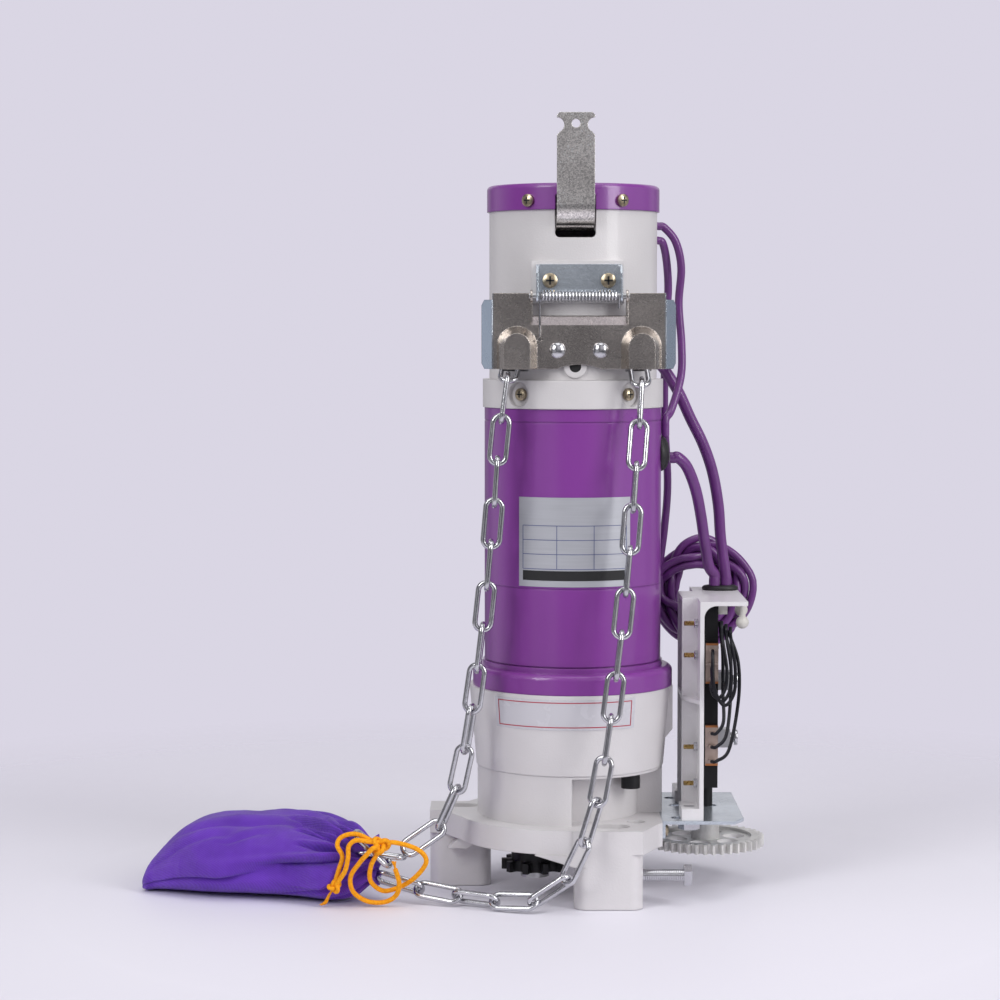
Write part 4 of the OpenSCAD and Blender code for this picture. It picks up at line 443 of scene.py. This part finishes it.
# Draw cord of the bag: its own line, a second strand to the tied end, two knots and two frayed ends
CORD_D = 3.3
STRAND_R = 0.62
draw_route = [[-137, -52, 17], [-134, -54, 27], [-131.5, -55, 36], [-135, -54, 43.5], [-132, -53, 49],
              [-122, -53, 51], [-108, -54, 45.5], [-95, -55, 45.5], [-80, -57, 41], [-74.5, -57, 33],
              [-81.5, -53, 22], [-92, -48, 14], [-104, -48, 11], [-112.5, -52, 18.5], [-112, -56.5, 30],
              [-107, -58.5, 40.5], [-110, -60.5, 43], [-115, -60.5, 38], [-120, -58, 32],
              [-126, -55, 22], [-124.5, -51, 11], [-115, -49, 4], [-103, -49, 3.5], [-95, -52, 9],
              [-93, -56, 18], [-95.5, -58.5, 28]]
second_route = [[-106, -56.5, 46], [-113, -57, 46.5], [-122, -57, 47.5], [-127, -57.5, 43.5],
                [-127.5, -58, 36], [-129.5, -57, 27], [-133.5, -54.5, 20], [-136, -53.5, 16]]


def knot_parts(parts, centre, size, d, turn):
    """Adds a closed trefoil knot of cord."""
    rot = Matrix.Rotation(math.radians(turn), 3, "Y") @ Matrix.Rotation(math.radians(65), 3, "X")
    pts = []
    for i in range(72):
        t = 2 * math.pi * i / 72
        v = Vector((math.sin(t) + 2 * math.sin(2 * t), math.cos(t) - 2 * math.cos(2 * t),
                    -1.15 * math.sin(3 * t)))
        pts.append(list(Vector(centre) + rot @ (v * size)))
    tube_parts(parts, pts, d / 2, 12, closed=True)


knots = ([], [])
knot_parts(knots, (-105.5, -56.5, 44), 1.9, CORD_D, 20)
knot_parts(knots, (-137, -52.5, 15), 1.35, CORD_D * 0.9, -30)
knot_piece = mesh_piece("cord_knots", *knots, "orange_cord")
tail = ([], [])
for i in range(9):
    g = 2.399 * i
    spread = 0.35 * math.sqrt(i)
    a = [-138.5, -51.5, 12.5]
    b = [-141 + 0.5 * math.cos(g), -50.5 + 0.5 * math.sin(g), 8.5]
    c = [-143.5 + spread * math.cos(g), -49.5 + spread * math.sin(g), 4.6 - 0.2 * i]
    d = [-146 + 2.2 * spread * math.cos(g), -49 + 1.6 * spread * math.sin(g), 1.0 + 0.12 * i]
    tube_parts(tail, route([a, b, c, d], 5), lambda t: STRAND_R - 0.3 * t, 6)
for i in range(6):
    g = 1.7 * i
    a = draw_route[-1]
    b = [-96 + 0.6 * math.cos(g), -58.7 + 0.5 * math.sin(g), 31]
    c = [-96.6 + 1.5 * math.cos(g), -58.8 + 1.0 * math.sin(g), 33.5]
    tube_parts(tail, route([a, b, c], 4), lambda t: STRAND_R - 0.35 * t, 6)
tail_piece = mesh_piece("cord_tails", *tail, "orange_cord")
free_cord("draw_cord", route(draw_route), CORD_D, "orange_cord", ["bag_cord"])
free_cord("second_strand", route(second_route), CORD_D, "orange_cord")

# Two more chain links at the bag's mouth
LINK_L, LINK_W, LINK_WIRE = 36.4, 14.7, 3.6


def link_parts(parts, centre, along, wide):
    """Adds an oval link, with its long side along one direction and its width along another."""
    t = Vector(along).normalized()
    w = Vector(wide)
    w = (w - t * w.dot(t)).normalized()
    r = (LINK_W - LINK_WIRE) / 2
    s = (LINK_L - LINK_W) / 2
    pts = []
    for e in (1, -1):
        for k in range(17):
            g = math.radians(-90 + 180 * k / 16)
            pts.append(list(Vector(centre) + t * e * (s + r * math.cos(g)) + w * e * r * math.sin(g)))
    tube_parts(parts, pts, LINK_WIRE / 2, 12, closed=True)


links = ([], [])
link_parts(links, (-106.5, -38.5, 34), (-1, 0.05, 0.12), (0, -1, 0.1))
link_parts(links, (-111.5, -43.5, 39), (-0.70, -0.05, 0.68), (0.15, 1, 0.2))
mesh_piece("mouth_links", *links, "bright_steel")

# Bag: place of its mouth, lean in degrees, length, width and height
BAG_X, BAG_Y, BAG_LEAN = -113.0, -32.0, 9.0
BAG_L, BAG_W, BAG_H = 166.0, 104.0, 52.0
BAG_RINGS, BAG_ROUND = 190, 220
# Sections: how far along from the sewn end, width, bottom, top and sideways middle, as shares of the above
BAG = [[0, 0.1, 0.02, 0.16, 0.14], [0.02, 0.3, 0, 0.34, 0.2], [0.06, 0.5, 0, 0.52, 0.28],
       [0.12, 0.7, 0, 0.72, 0.33], [0.19, 0.86, 0, 0.88, 0.36], [0.28, 0.96, 0, 0.98, 0.36],
       [0.42, 1, 0, 1, 0.36], [0.58, 0.99, 0, 1, 0.35], [0.7, 0.92, 0, 0.99, 0.3],
       [0.8, 0.8, 0, 0.98, 0.2], [0.88, 0.6, 0.02, 0.95, 0.11], [0.94, 0.42, 0.08, 0.88, 0.05],
       [1, 0.2, 0.24, 0.76, 0]]
# Creases: start and end along the bag and round it in degrees, width and depth in mm
CREASES = [[0.04, 196, 0.40, 189, 3.2, 3.0], [0.36, 190, 0.70, 176, 3.2, 3.0],
           [0.66, 178, 0.97, 164, 2.8, 3.4], [0.22, 128, 0.44, 112, 5.0, 2.2],
           [0.42, 112, 0.64, 108, 4.5, 2.0], [0.70, 112, 0.86, 130, 3.2, 3.4],
           [0.84, 130, 0.97, 150, 2.6, 3.2], [0.78, 96, 0.90, 114, 3.0, 3.6],
           [0.88, 112, 1.0, 132, 2.4, 3.4], [0.62, 216, 0.84, 196, 3.0, 2.6],
           [0.82, 196, 0.99, 176, 2.6, 3.0], [0.76, 208, 0.96, 190, 2.2, 1.8],
           [0.86, 84, 1.0, 108, 2.4, 3.0], [0.40, 152, 0.52, 132, 4.0, 1.4],
           [0.12, 160, 0.34, 140, 5.0, 1.6], [0.30, 40, 0.68, 30, 4.5, 2.4],
           [0.66, 30, 0.97, 48, 3.2, 3.0], [0.55, 64, 0.92, 72, 3.6, 2.4],
           [0.64, 98, 0.90, 126, 2.0, 3.2], [0.70, 122, 0.92, 142, 1.8, 2.6],
           [0.72, 148, 0.95, 156, 1.8, 2.2], [0.10, 20, 0.40, 6, 4.0, 2.0],
           [0.70, 10, 0.98, 24, 3.0, 2.6], [0.52, 92, 0.74, 88, 4.0, 1.6]]
# Gathers at the tie: where they start, over what share of the length they grow, how many, and how deep
GATHER_FROM, GATHER_SPAN, GATHERS, GATHER_DEEP = 0.66, 0.34, 11, 4.2
# Depth of the broad and of the small slack in the cloth
BROAD_SLACK, SMALL_SLACK = 2.2, 0.9
# Rings of the hem beyond the tie: how far along, and how wide against the tie
HEM = ((2.5, 1.16), (4.5, 1.22), (4.0, 1.0), (-2.0, 0.8))


def bag_at(u):
    """The bag's section at share u of its length, smoothly between the rows of BAG."""
    i = 0
    while i < len(BAG) - 2 and BAG[i + 1][0] < u:
        i += 1
    p0, p1, p2, p3 = BAG[max(i - 1, 0)], BAG[i], BAG[i + 1], BAG[min(i + 2, len(BAG) - 1)]
    t = (u - p1[0]) / (p2[0] - p1[0])
    out = []
    for j in range(5):
        m1 = (p2[j] - p0[j]) / max(1e-6, p2[0] - p0[0]) * (p2[0] - p1[0])
        m2 = (p3[j] - p1[j]) / max(1e-6, p3[0] - p1[0]) * (p2[0] - p1[0])
        out.append(p1[j] * (2 * t ** 3 - 3 * t * t + 1) + m1 * (t ** 3 - 2 * t * t + t)
                   + p2[j] * (3 * t * t - 2 * t ** 3) + m2 * (t ** 3 - t * t))
    return out


def crease_push(u, deg, half_w, half_h):
    """Inward push of the cloth near each crease, with a soft ridge beside it."""
    push = 0.0
    r = (half_w + half_h) / 2
    for u0, a0, u1, a1, w, deep in CREASES:
        t = max(0.0, min(1.0, (u - u0) / (u1 - u0)))
        off_u = (u - (u0 + (u1 - u0) * t)) * BAG_L
        off_a = math.radians(deg - (a0 + (a1 - a0) * t)) * r
        fade = math.exp(-(off_u / (2.5 * w)) ** 2) * (0.35 + 0.65 * math.sin(math.pi * (0.12 + 0.76 * t)))
        push += fade * deep * 1.45 * (math.exp(-abs(off_a / (0.7 * w)) ** 1.4)
                                      - 0.6 * math.exp(-((off_a + 1.7 * w) / (1.2 * w)) ** 2))
    return push * (1 + 1.1 * max(0.0, (u - 0.6) / 0.4))


def bag_middle(section):
    return BAG_W * section[4], BAG_H * (section[2] + section[3]) / 2


def bag_parts():
    """Vertices and faces of the closed bag, in its place."""
    verts, faces = [], []
    for i in range(BAG_RINGS + 1):
        u = i / BAG_RINGS
        section = bag_at(u)
        half_w, half_h = BAG_W * section[1] / 2, BAG_H * (section[3] - section[2]) / 2
        mid_y, mid_z = bag_middle(section)
        for k in range(BAG_ROUND):
            a = 2 * math.pi * k / BAG_ROUND
            c, q = math.cos(a), math.sin(a)
            y = half_w * math.copysign(abs(c) ** 0.75, c)
            z = half_h * math.copysign(abs(q) ** (0.45 if q < 0 else 0.85), q)
            n = Vector((0, y / max(1.0, half_w) ** 2, z / max(1.0, half_h) ** 2))
            n = n.normalized() if n.length else Vector((0, 0, 1))
            d = -crease_push(u, math.degrees(a), half_w, half_h)
            # Gathers that run out from the tie
            g = max(0.0, (u - GATHER_FROM) / GATHER_SPAN)
            sway = 1.2 * math.sin(3 * a) + 3.0 * noise.noise(Vector((u * 4, c, q)))
            gather = math.sin(GATHERS * a + sway)
            d += GATHER_DEEP * g ** 1.6 * (gather - 0.5 * abs(gather))
            # Broad and small slack in the cloth, none at the sewn end
            side = Vector((u * 3.0, c * 1.3, q * 1.3 + 4.0))
            d += BROAD_SLACK * noise.noise(side) * min(1.0, 6 * u)
            d += SMALL_SLACK * noise.noise(Vector((u * 11.0, c * 4.0 + u * 3, q * 4.0))) * min(1.0, 6 * u)
            # The underside lies flat
            if q < -0.25:
                d = min(d, 0.0) * 0.5
            y = mid_y + y + n.y * d
            z = mid_z + z + n.z * d
            verts.append((-BAG_L * (1 - u), y, max(0.2, z)))
    for i in range(BAG_RINGS):
        for k in range(BAG_ROUND):
            b0, b1 = i * BAG_ROUND + k, i * BAG_ROUND + (k + 1) % BAG_ROUND
            faces.append((b0, b0 + BAG_ROUND, b1 + BAG_ROUND, b1))
    # Hem that is folded in beyond the tie
    tie = BAG_RINGS * BAG_ROUND
    mid_y, mid_z = bag_middle(bag_at(1.0))
    prev = tie
    for along, share in HEM:
        base = len(verts)
        for k in range(BAG_ROUND):
            p = verts[tie + k]
            verts.append((along, mid_y + (p[1] - mid_y) * share, mid_z + (p[2] - mid_z) * share))
        for k in range(BAG_ROUND):
            k2 = (k + 1) % BAG_ROUND
            faces.append((prev + k, base + k, base + k2, prev + k2))
        prev = base
    faces.append(tuple(range(BAG_ROUND)))
    faces.append(tuple(reversed(range(prev, prev + BAG_ROUND))))
    rot = Matrix.Rotation(math.radians(-BAG_LEAN), 3, "Z")
    return [tuple(rot @ Vector(v) + Vector((BAG_X, BAG_Y, 0.0))) for v in verts], faces


def cloth_mat():
    """Purple twill with small creases under its weave."""
    m, nt, bsdf = new_mat("bag_cloth")
    bsdf.inputs["Roughness"].default_value = 0.86
    bsdf.inputs["Sheen Weight"].default_value = 0.22
    bsdf.inputs["Sheen Roughness"].default_value = 0.45
    bsdf.inputs["Specular IOR Level"].default_value = 0.2
    vector = add_node(nt, "TexCoord").outputs["Object"]
    mottle = noise_node(nt, vector, 45.0, 6.0)
    ramp = ramp_node(nt, mottle.outputs["Fac"], (0.3, 0.7), ((0.126, 0.036, 0.43), (0.176, 0.054, 0.57)))
    # Twill weave: slanted ribs crossed by fine threads
    ribs = add_node(nt, "TexWave", {"Scale": 330.0, "Distortion": 1.6, "Detail Scale": 2.0}, {"Vector": vector})
    ribs.bands_direction = "DIAGONAL"
    threads = add_node(nt, "TexWave", {"Scale": 620.0, "Distortion": 0.8}, {"Vector": vector})
    threads.bands_direction = "X"
    weave = add_node(nt, "Math", links={0: ribs.outputs["Fac"], 1: threads.outputs["Fac"]}, operation="ADD")
    factor = add_node(nt, "MapRange", {"From Max": 2.0, "To Min": 0.80, "To Max": 1.12},
                      {"Value": weave.outputs["Value"]})
    nt.links.new(scaled(nt, ramp.outputs["Color"], factor.outputs["Result"]), bsdf.inputs["Base Color"])
    creases = noise_node(nt, vector, 70.0, 7.0)
    creases.inputs["Distortion"].default_value = 0.6
    wrinkle = add_node(nt, "Bump", {"Strength": 0.55, "Distance": 0.0022}, {"Height": creases.outputs["Fac"]})
    relief = add_node(nt, "Bump", {"Strength": 0.7, "Distance": 0.0003},
                      {"Height": weave.outputs["Value"], "Normal": wrinkle.outputs["Normal"]})
    nt.links.new(relief.outputs["Normal"], bsdf.inputs["Normal"])
    return m


MAT["bag_cloth"] = cloth_mat()
mesh_piece("cloth_bag", *bag_parts(), "bag_cloth", nodes=["chain_bag"])

# Thin trim on the name plate and on the strip
TRIM_T = 0.12


def band_parts(parts, radius_at, turn0, turn1, z0, z1, steps, centre_x=AX, front=-90):
    """Adds a thin curved strip round an upright axis, its turns in degrees from the front."""
    verts, faces = parts
    base = len(verts)
    for i in range(steps + 1):
        g = math.radians(front + turn0 + (turn1 - turn0) * i / steps)
        for out, z in ((0, z0), (TRIM_T, z0), (TRIM_T, z1), (0, z1)):
            r = radius_at(z) + out
            verts.append((centre_x + r * math.cos(g), AY + r * math.sin(g), z))
    for i in range(steps):
        a, b = base + 4 * i, base + 4 * i + 4
        for k in range(4):
            right = (k + 1) % 4
            faces.append((a + k, b + k, b + right, a + right))
    e = base + 4 * steps
    faces.append((base + 3, base + 2, base + 1, base))
    faces.append((e, e + 1, e + 2, e + 3))


# Rules and band of the name plate, as shares of its height from its top
NAME_Z, NAME_H, PLATE_OUT = 218.1, 61.0, 0.5
RULE_TURN, RULE_HALF, RULE_HALF_TURN = 34.5, 0.22, 0.2
FIRST_RULE, LAST_RULE = 0.315, 0.80
name_top = NAME_Z + NAME_H


def plate_r(z):
    """The plate's front, which is upright and so the same at every height."""
    return TUBE_R + PLATE_OUT


rules = ([], [])
for share in (FIRST_RULE, 0.475, 0.635, LAST_RULE):
    z = name_top - NAME_H * share
    band_parts(rules, plate_r, -RULE_TURN, RULE_TURN, z - RULE_HALF, z + RULE_HALF, 24)
for turn in (-RULE_TURN, -11.5, 12.0, RULE_TURN):
    band_parts(rules, plate_r, turn - RULE_HALF_TURN, turn + RULE_HALF_TURN, name_top - NAME_H * LAST_RULE,
               name_top - NAME_H * FIRST_RULE, 2)
mesh_piece("plate_rules", *rules, "label", mat="table_ink", smooth=False)
band = ([], [])
band_parts(band, plate_r, -RULE_TURN, RULE_TURN, name_top - NAME_H * 0.93, name_top - NAME_H * 0.82, 24)
mesh_piece("plate_band", *band, "label", mat="dark_gap", smooth=False)

# Thin red line round the bare strip on the gear case, which widens upwards
STRIP_X, STRIP_FRONT = AX - 1.8, -95
STRIP_LOW, STRIP_HIGH, STRIP_TURN = 122.6, 139.6, 40.5
LINE_W, LINE_TURN = 0.6, 0.5
CASE_Z, CASE_R, CASE_RISE, CASE_GROWS, STRIP_OUT = 88.6, 65.8, 56, 4.8, 0.56


def strip_r(z):
    """The strip's front, on a case that grows wider over its rise."""
    return CASE_R + CASE_GROWS * (z - CASE_Z) / CASE_RISE + STRIP_OUT


edge = ([], [])
for z in (STRIP_LOW, STRIP_HIGH):
    band_parts(edge, strip_r, -STRIP_TURN, STRIP_TURN, z, z + LINE_W, 28, STRIP_X, STRIP_FRONT)
for turn in (-STRIP_TURN, STRIP_TURN - LINE_TURN):
    band_parts(edge, strip_r, turn, turn + LINE_TURN, STRIP_LOW, STRIP_HIGH + LINE_W, 1, STRIP_X, STRIP_FRONT)
mesh_piece("strip_edge", *edge, "strip", mat="red_line", smooth=False)

# Thread of the tension bolt, as rings round its shank
BOLT_START, BOLT_PITCH, BOLT_TURNS = (72.2, -41.5, 20.4), 1.25, 23
ROOT_R, CREST_R, SHANK_R = 3.72, 4.22, 3.2
bolt = ([], [])
thread = [(SHANK_R, 0)]
for i in range(BOLT_TURNS):
    thread += [(ROOT_R, 0.2 + BOLT_PITCH * i), (CREST_R, 0.2 + BOLT_PITCH * i + 0.62)]
thread.append((SHANK_R, 0.3 + BOLT_PITCH * BOLT_TURNS))
lathe_parts(bolt, thread, BOLT_START, (1, 0, 0), 28)
mesh_piece("bolt_thread", *bolt, "bright_steel")

# Grommets: a round one on the motor, an oval one on the frame's top, as growth at heights
MOTOR_GROMMET = [(12.3, 0), (12.5, 1.2), (12.2, 2.4), (10.6, 4.6), (7.6, 6.3), (4.6, 6.9), (4.1, 6.6),
                 (4.0, 5.0)]
OVAL = ((0, 0), (1.0, 0.4), (2.2, 0.2), (3.1, -0.9), (3.4, -2.0))
OVAL_X, OVAL_Y, OVAL_SIDES = 12.6, 8.8, 40
grommets = ([], [])
lathe_parts(grommets, MOTOR_GROMMET, (AX + TUBE_R - 1.4, AY, RUBBER_Z), (1, 0, 0), 40)
base = len(grommets[0])
for h, grow in OVAL:
    for k in range(OVAL_SIDES):
        g = 2 * math.pi * k / OVAL_SIDES
        grommets[0].append((frame_gland[0] - 0.6 + (OVAL_X + grow) * math.cos(g),
                            frame_gland[1] + 0.6 + (OVAL_Y + grow) * math.sin(g), FRAME_TOP + 0.05 + h))
skin(grommets[1], base, len(OVAL), OVAL_SIDES)
mesh_piece("grommets", *grommets, "black_rubber", nodes=["gland_rubbers"])

# Studs and nuts through the frame's wall
STUD_Y, STUD_Z = -0.3, (76.97, 102.52, 166.86, 189.07)
STUD_X, NUT_X = 103.7, 110.7
STUD_ROOT, STUD_CREST, STUD_PITCH, STUD_L = 1.54, 1.76, 0.44, 7.0
NUT_PROFILE = [(2.75, -0.25), (3.24, 0.25), (3.24, 2.15), (2.75, 2.6)]
studs = ([], [])
stud_nuts = ([], [])
for z in STUD_Z:
    thread = [(0.9, -0.3)]
    h = 0.0
    while h < STUD_L:
        thread += [(STUD_ROOT, h), (STUD_CREST, h + STUD_PITCH / 2)]
        h += STUD_PITCH
    lathe_parts(studs, thread, (STUD_X, STUD_Y, z), (1, 0, 0), 18)
    lathe_parts(stud_nuts, NUT_PROFILE, (NUT_X, STUD_Y, z), (1, 0, 0), 6)
mesh_piece("frame_studs", *studs, "brass", smooth=False)
mesh_piece("frame_stud_nuts", *stud_nuts, "bright_steel", smooth=False)

# Thumb screws and springs on the travel nuts
THUMB_X, THUMB_Y = 139, 40
THUMB = [(2.4, -0.2), (2.4, 3.0), (5.45, 3.1), (5.6, 3.5), (5.6, 5.0), (5.3, 5.5), (2.2, 5.6), (2.0, 5.2)]
SPRING_L, SPRING_R, SPRING_WIRE_R = 3.0, 3.3, 0.36
for body, z in (("upper_travel_nut", 144.04), ("lower_travel_nut", 102.98)):
    thumb = ([], [])
    lathe_parts(thumb, THUMB, (THUMB_X, THUMB_Y, z), (1, 0, 0), 28)
    coil = [[THUMB_X + SPRING_L * k / 60, THUMB_Y + SPRING_R * math.cos(k * 0.42),
             z + SPRING_R * math.sin(k * 0.42)] for k in range(61)]
    tube_parts(thumb, coil, SPRING_WIRE_R, 6)
    mesh_piece("thumb_" + body, *thumb, "bright_steel", body=body)

# Painted shade: a dark disc inside the head's boss, where its hole lies in shade
BOSS_AT = (28.0, -37.3, 367.5)
boss = ([], [])
lathe_parts(boss, [(5.0, 0), (5.0, 0.4), (4.4, 0.5)], BOSS_AT, (0, -1, 0), 28)
mesh_piece("boss_shade_disc", *boss, "black_oxide", mat="dark_gap")

# Switch fittings: rivets and end plates
RIVET = [(1.5, 0), (1.5, 0.35), (1.0, 0.6)]
rivets = ([], [])
plates = ([], [])
switch_x0, switch_x1 = BLOCK_X + SWITCH_LEFT, BLOCK_X + SWITCH_RIGHT
switch_y = BLOCK_Y - SWITCH_OUT
for switch_z in SWITCH_Z:
    low, high = ANGLE_TOP + switch_z, ANGLE_TOP + switch_z + SWITCH_H
    for z in (low + 3.4, high - 3.4):
        lathe_parts(rivets, RIVET, (switch_x1 - 0.05, switch_y + 5.4, z), (1, 0, 0), 16)
    for z0, z1 in ((low - 0.12, low + 1.3), (high - 1.3, high + 0.12)):
        box_parts(plates, (switch_x0 + 0.2, switch_y - 0.12, z0), (switch_x1 - 0.1, switch_y + 3.6, z1))
mesh_piece("switch_rivets", *rivets, "tan_plastic", mat="bright_steel")
mesh_piece("switch_end_plates", *plates, "tan_plastic", mat="copper_wire", smooth=False)


# Painted shade: dark crossed bars on the screw heads, which stand in for their shaded cross recesses
def cross_parts(parts, centre, out, half, wide):
    """Adds two crossed bars that face out."""
    verts, faces = parts
    rot = Vector(out).to_track_quat("Z", "Y").to_matrix()
    for w, d in ((half, wide), (wide, half)):
        base = len(verts)
        for h in (-0.5, 0.06):
            for a, b in ((-w, -d), (w, -d), (w, d), (-w, d)):
                verts.append(tuple(Vector(centre) + rot @ Vector((a, b, h))))
        for f in BOX_FACES:
            faces.append(tuple(base + i for i in f))


# Screws in a ring: their turns in degrees, their heads' distance from the axis, their height
RING_SCREWS = (((-121.6, -58.4, 58.4, 121.6), 63.37, 480.4), ((-128, -52, 52, 128), 61.87, 348.85))
crosses = ([], [])
for x in (9.3, 48.7):
    cross_parts(crosses, (x, -41.78, 426.1), (0, -1, 0), 2.9, 0.62)
for turns, r, z in RING_SCREWS:
    for turn in turns:
        g = math.radians(turn)
        cross_parts(crosses, (AX + r * math.cos(g), AY + r * math.sin(g), z), (math.cos(g), math.sin(g), 0),
                    2.0, 0.42)
mesh_piece("screw_recess_shade", *crosses, "yellow_zinc", mat="dark_gap", smooth=False)

# Finishes that differ from the record's slots; the frame's and the lever's are brighter copies with painted
# light
for node, finish in (("guide_bracket", "blue_zinc"), ("release_lever", "lever_zinc"),
                     ("limit_frame", "frame_paint"), ("switch_screws", "bright_steel"),
                     ("upper_nut", "machined_steel"), ("lower_nut", "machined_steel")):
    refinish(node, MAT[finish])

# Bluish wings on the guide plate: its middle, and where the change of colour starts and ends beside it
GUIDE_MID, WING_FROM, WING_TO = 29 * MM, 57.5 * MM, 59.5 * MM
WING_COLOR = (0.46, 0.55, 0.66)


def winged_zinc():
    m = MAT["zinc_sheet"].copy()
    m.name = "guide_zinc"
    nt = m.node_tree
    bsdf = nt.nodes["Principled BSDF"]
    plain = bsdf.inputs["Base Color"].links[0].from_socket
    coords = add_node(nt, "TexCoord")
    axes = add_node(nt, "SeparateXYZ", links={"Vector": coords.outputs["Object"]})
    aside = add_node(nt, "Math", {1: GUIDE_MID}, {0: axes.outputs["X"]}, "SUBTRACT")
    away = add_node(nt, "Math", links={0: aside.outputs["Value"]}, operation="ABSOLUTE")
    wing = add_node(nt, "MapRange", {"From Min": WING_FROM, "From Max": WING_TO},
                    {"Value": away.outputs["Value"]})
    # Sockets 6, 7 and 2 of a Mix node are its two colours and its colour result
    mix = nt.nodes.new("ShaderNodeMix")
    mix.data_type = "RGBA"
    mix.inputs[7].default_value = (*WING_COLOR, 1)
    nt.links.new(wing.outputs["Result"], mix.inputs[0])
    nt.links.new(plain, mix.inputs[6])
    nt.links.new(mix.outputs[2], bsdf.inputs["Base Color"])
    return m


refinish("guide_plate", winged_zinc())

# Stage: world, floor and lamps
BACKGROUND = (0.70, 0.672, 0.775)
FLOOR_COLOR, FLOOR_HALF = (0.83, 0.81, 0.885), 3.2
FADE_FROM, FADE_TO = 0.34, 0.85


def make_world():
    """A plain background for the camera, and a room with dim and bright areas, which show mainly in metal."""
    world = bpy.context.scene.world or bpy.data.worlds.new("world")
    bpy.context.scene.world = world
    world.use_nodes = True
    nt = world.node_tree
    nt.nodes.clear()
    coords = add_node(nt, "TexCoord")
    areas = noise_node(nt, coords.outputs["Generated"], 1.5, 1.0)
    ramp = ramp_node(nt, areas.outputs["Fac"], (0.40, 0.60), ((0.30, 0.30, 0.34), (1.55, 1.52, 1.60)))
    room = add_node(nt, "Background", {"Strength": 0.42}, {"Color": ramp.outputs["Color"]})
    seen = add_node(nt, "Background", {"Color": (*BACKGROUND, 1)})
    ray = add_node(nt, "LightPath")
    direct = add_node(nt, "Math", operation="MAXIMUM",
                      links={0: ray.outputs["Is Camera Ray"], 1: ray.outputs["Is Transmission Ray"]})
    mix = add_node(nt, "MixShader", links={"Fac": direct.outputs["Value"], 1: room.outputs["Background"],
                                           2: seen.outputs["Background"]})
    add_node(nt, "OutputWorld", links={"Surface": mix.outputs["Shader"]})


def make_floor():
    """A pale floor that keeps the object's shadow and fades into the background."""
    mesh = bpy.data.meshes.new("floor")
    r = FLOOR_HALF
    mesh.from_pydata([(-r, -r, 0), (r, -r, 0), (r, r, 0), (-r, r, 0)], [], [(0, 1, 2, 3)])
    floor = bpy.data.objects.new("floor", mesh)
    floor.location = (0, 0, -0.0003)
    bpy.context.scene.collection.objects.link(floor)
    m, nt, bsdf = new_mat("floor")
    bsdf.inputs["Base Color"].default_value = (*FLOOR_COLOR, 1)
    bsdf.inputs["Roughness"].default_value = 0.55
    coords = add_node(nt, "TexCoord")
    away = add_node(nt, "VectorMath", links={0: coords.outputs["Object"]}, operation="LENGTH")
    fade = add_node(nt, "MapRange", {"From Min": FADE_FROM, "From Max": FADE_TO},
                    {"Value": away.outputs["Value"]})
    clear = add_node(nt, "BsdfTransparent")
    mix = add_node(nt, "MixShader", links={"Fac": fade.outputs["Result"], 1: bsdf.outputs["BSDF"],
                                           2: clear.outputs["BSDF"]})
    nt.links.new(mix.outputs["Shader"], nt.nodes["Material Output"].inputs["Surface"])
    mesh.materials.append(m)


def area(name, loc, target, size, size_y, power):
    """A rectangular lamp that faces a point."""
    d = bpy.data.lights.new(name, "AREA")
    d.shape = "RECTANGLE"
    d.size, d.size_y, d.energy = size, size_y, power
    o = bpy.data.objects.new(name, d)
    o.location = loc
    o.rotation_euler = (Vector(target) - Vector(loc)).to_track_quat("-Z", "Y").to_euler()
    bpy.context.scene.collection.objects.link(o)


make_world()
make_floor()
area("key", (-1.3, -1.5, 1.45), (0, 0, 0.40), 0.8, 1.4, 21)
area("fill", (1.5, -1.1, 1.1), (0, 0, 0.38), 0.6, 1.4, 19)
area("top", (0.1, -0.1, 2.0), (0, 0, 0.2), 1.6, 1.6, 14)
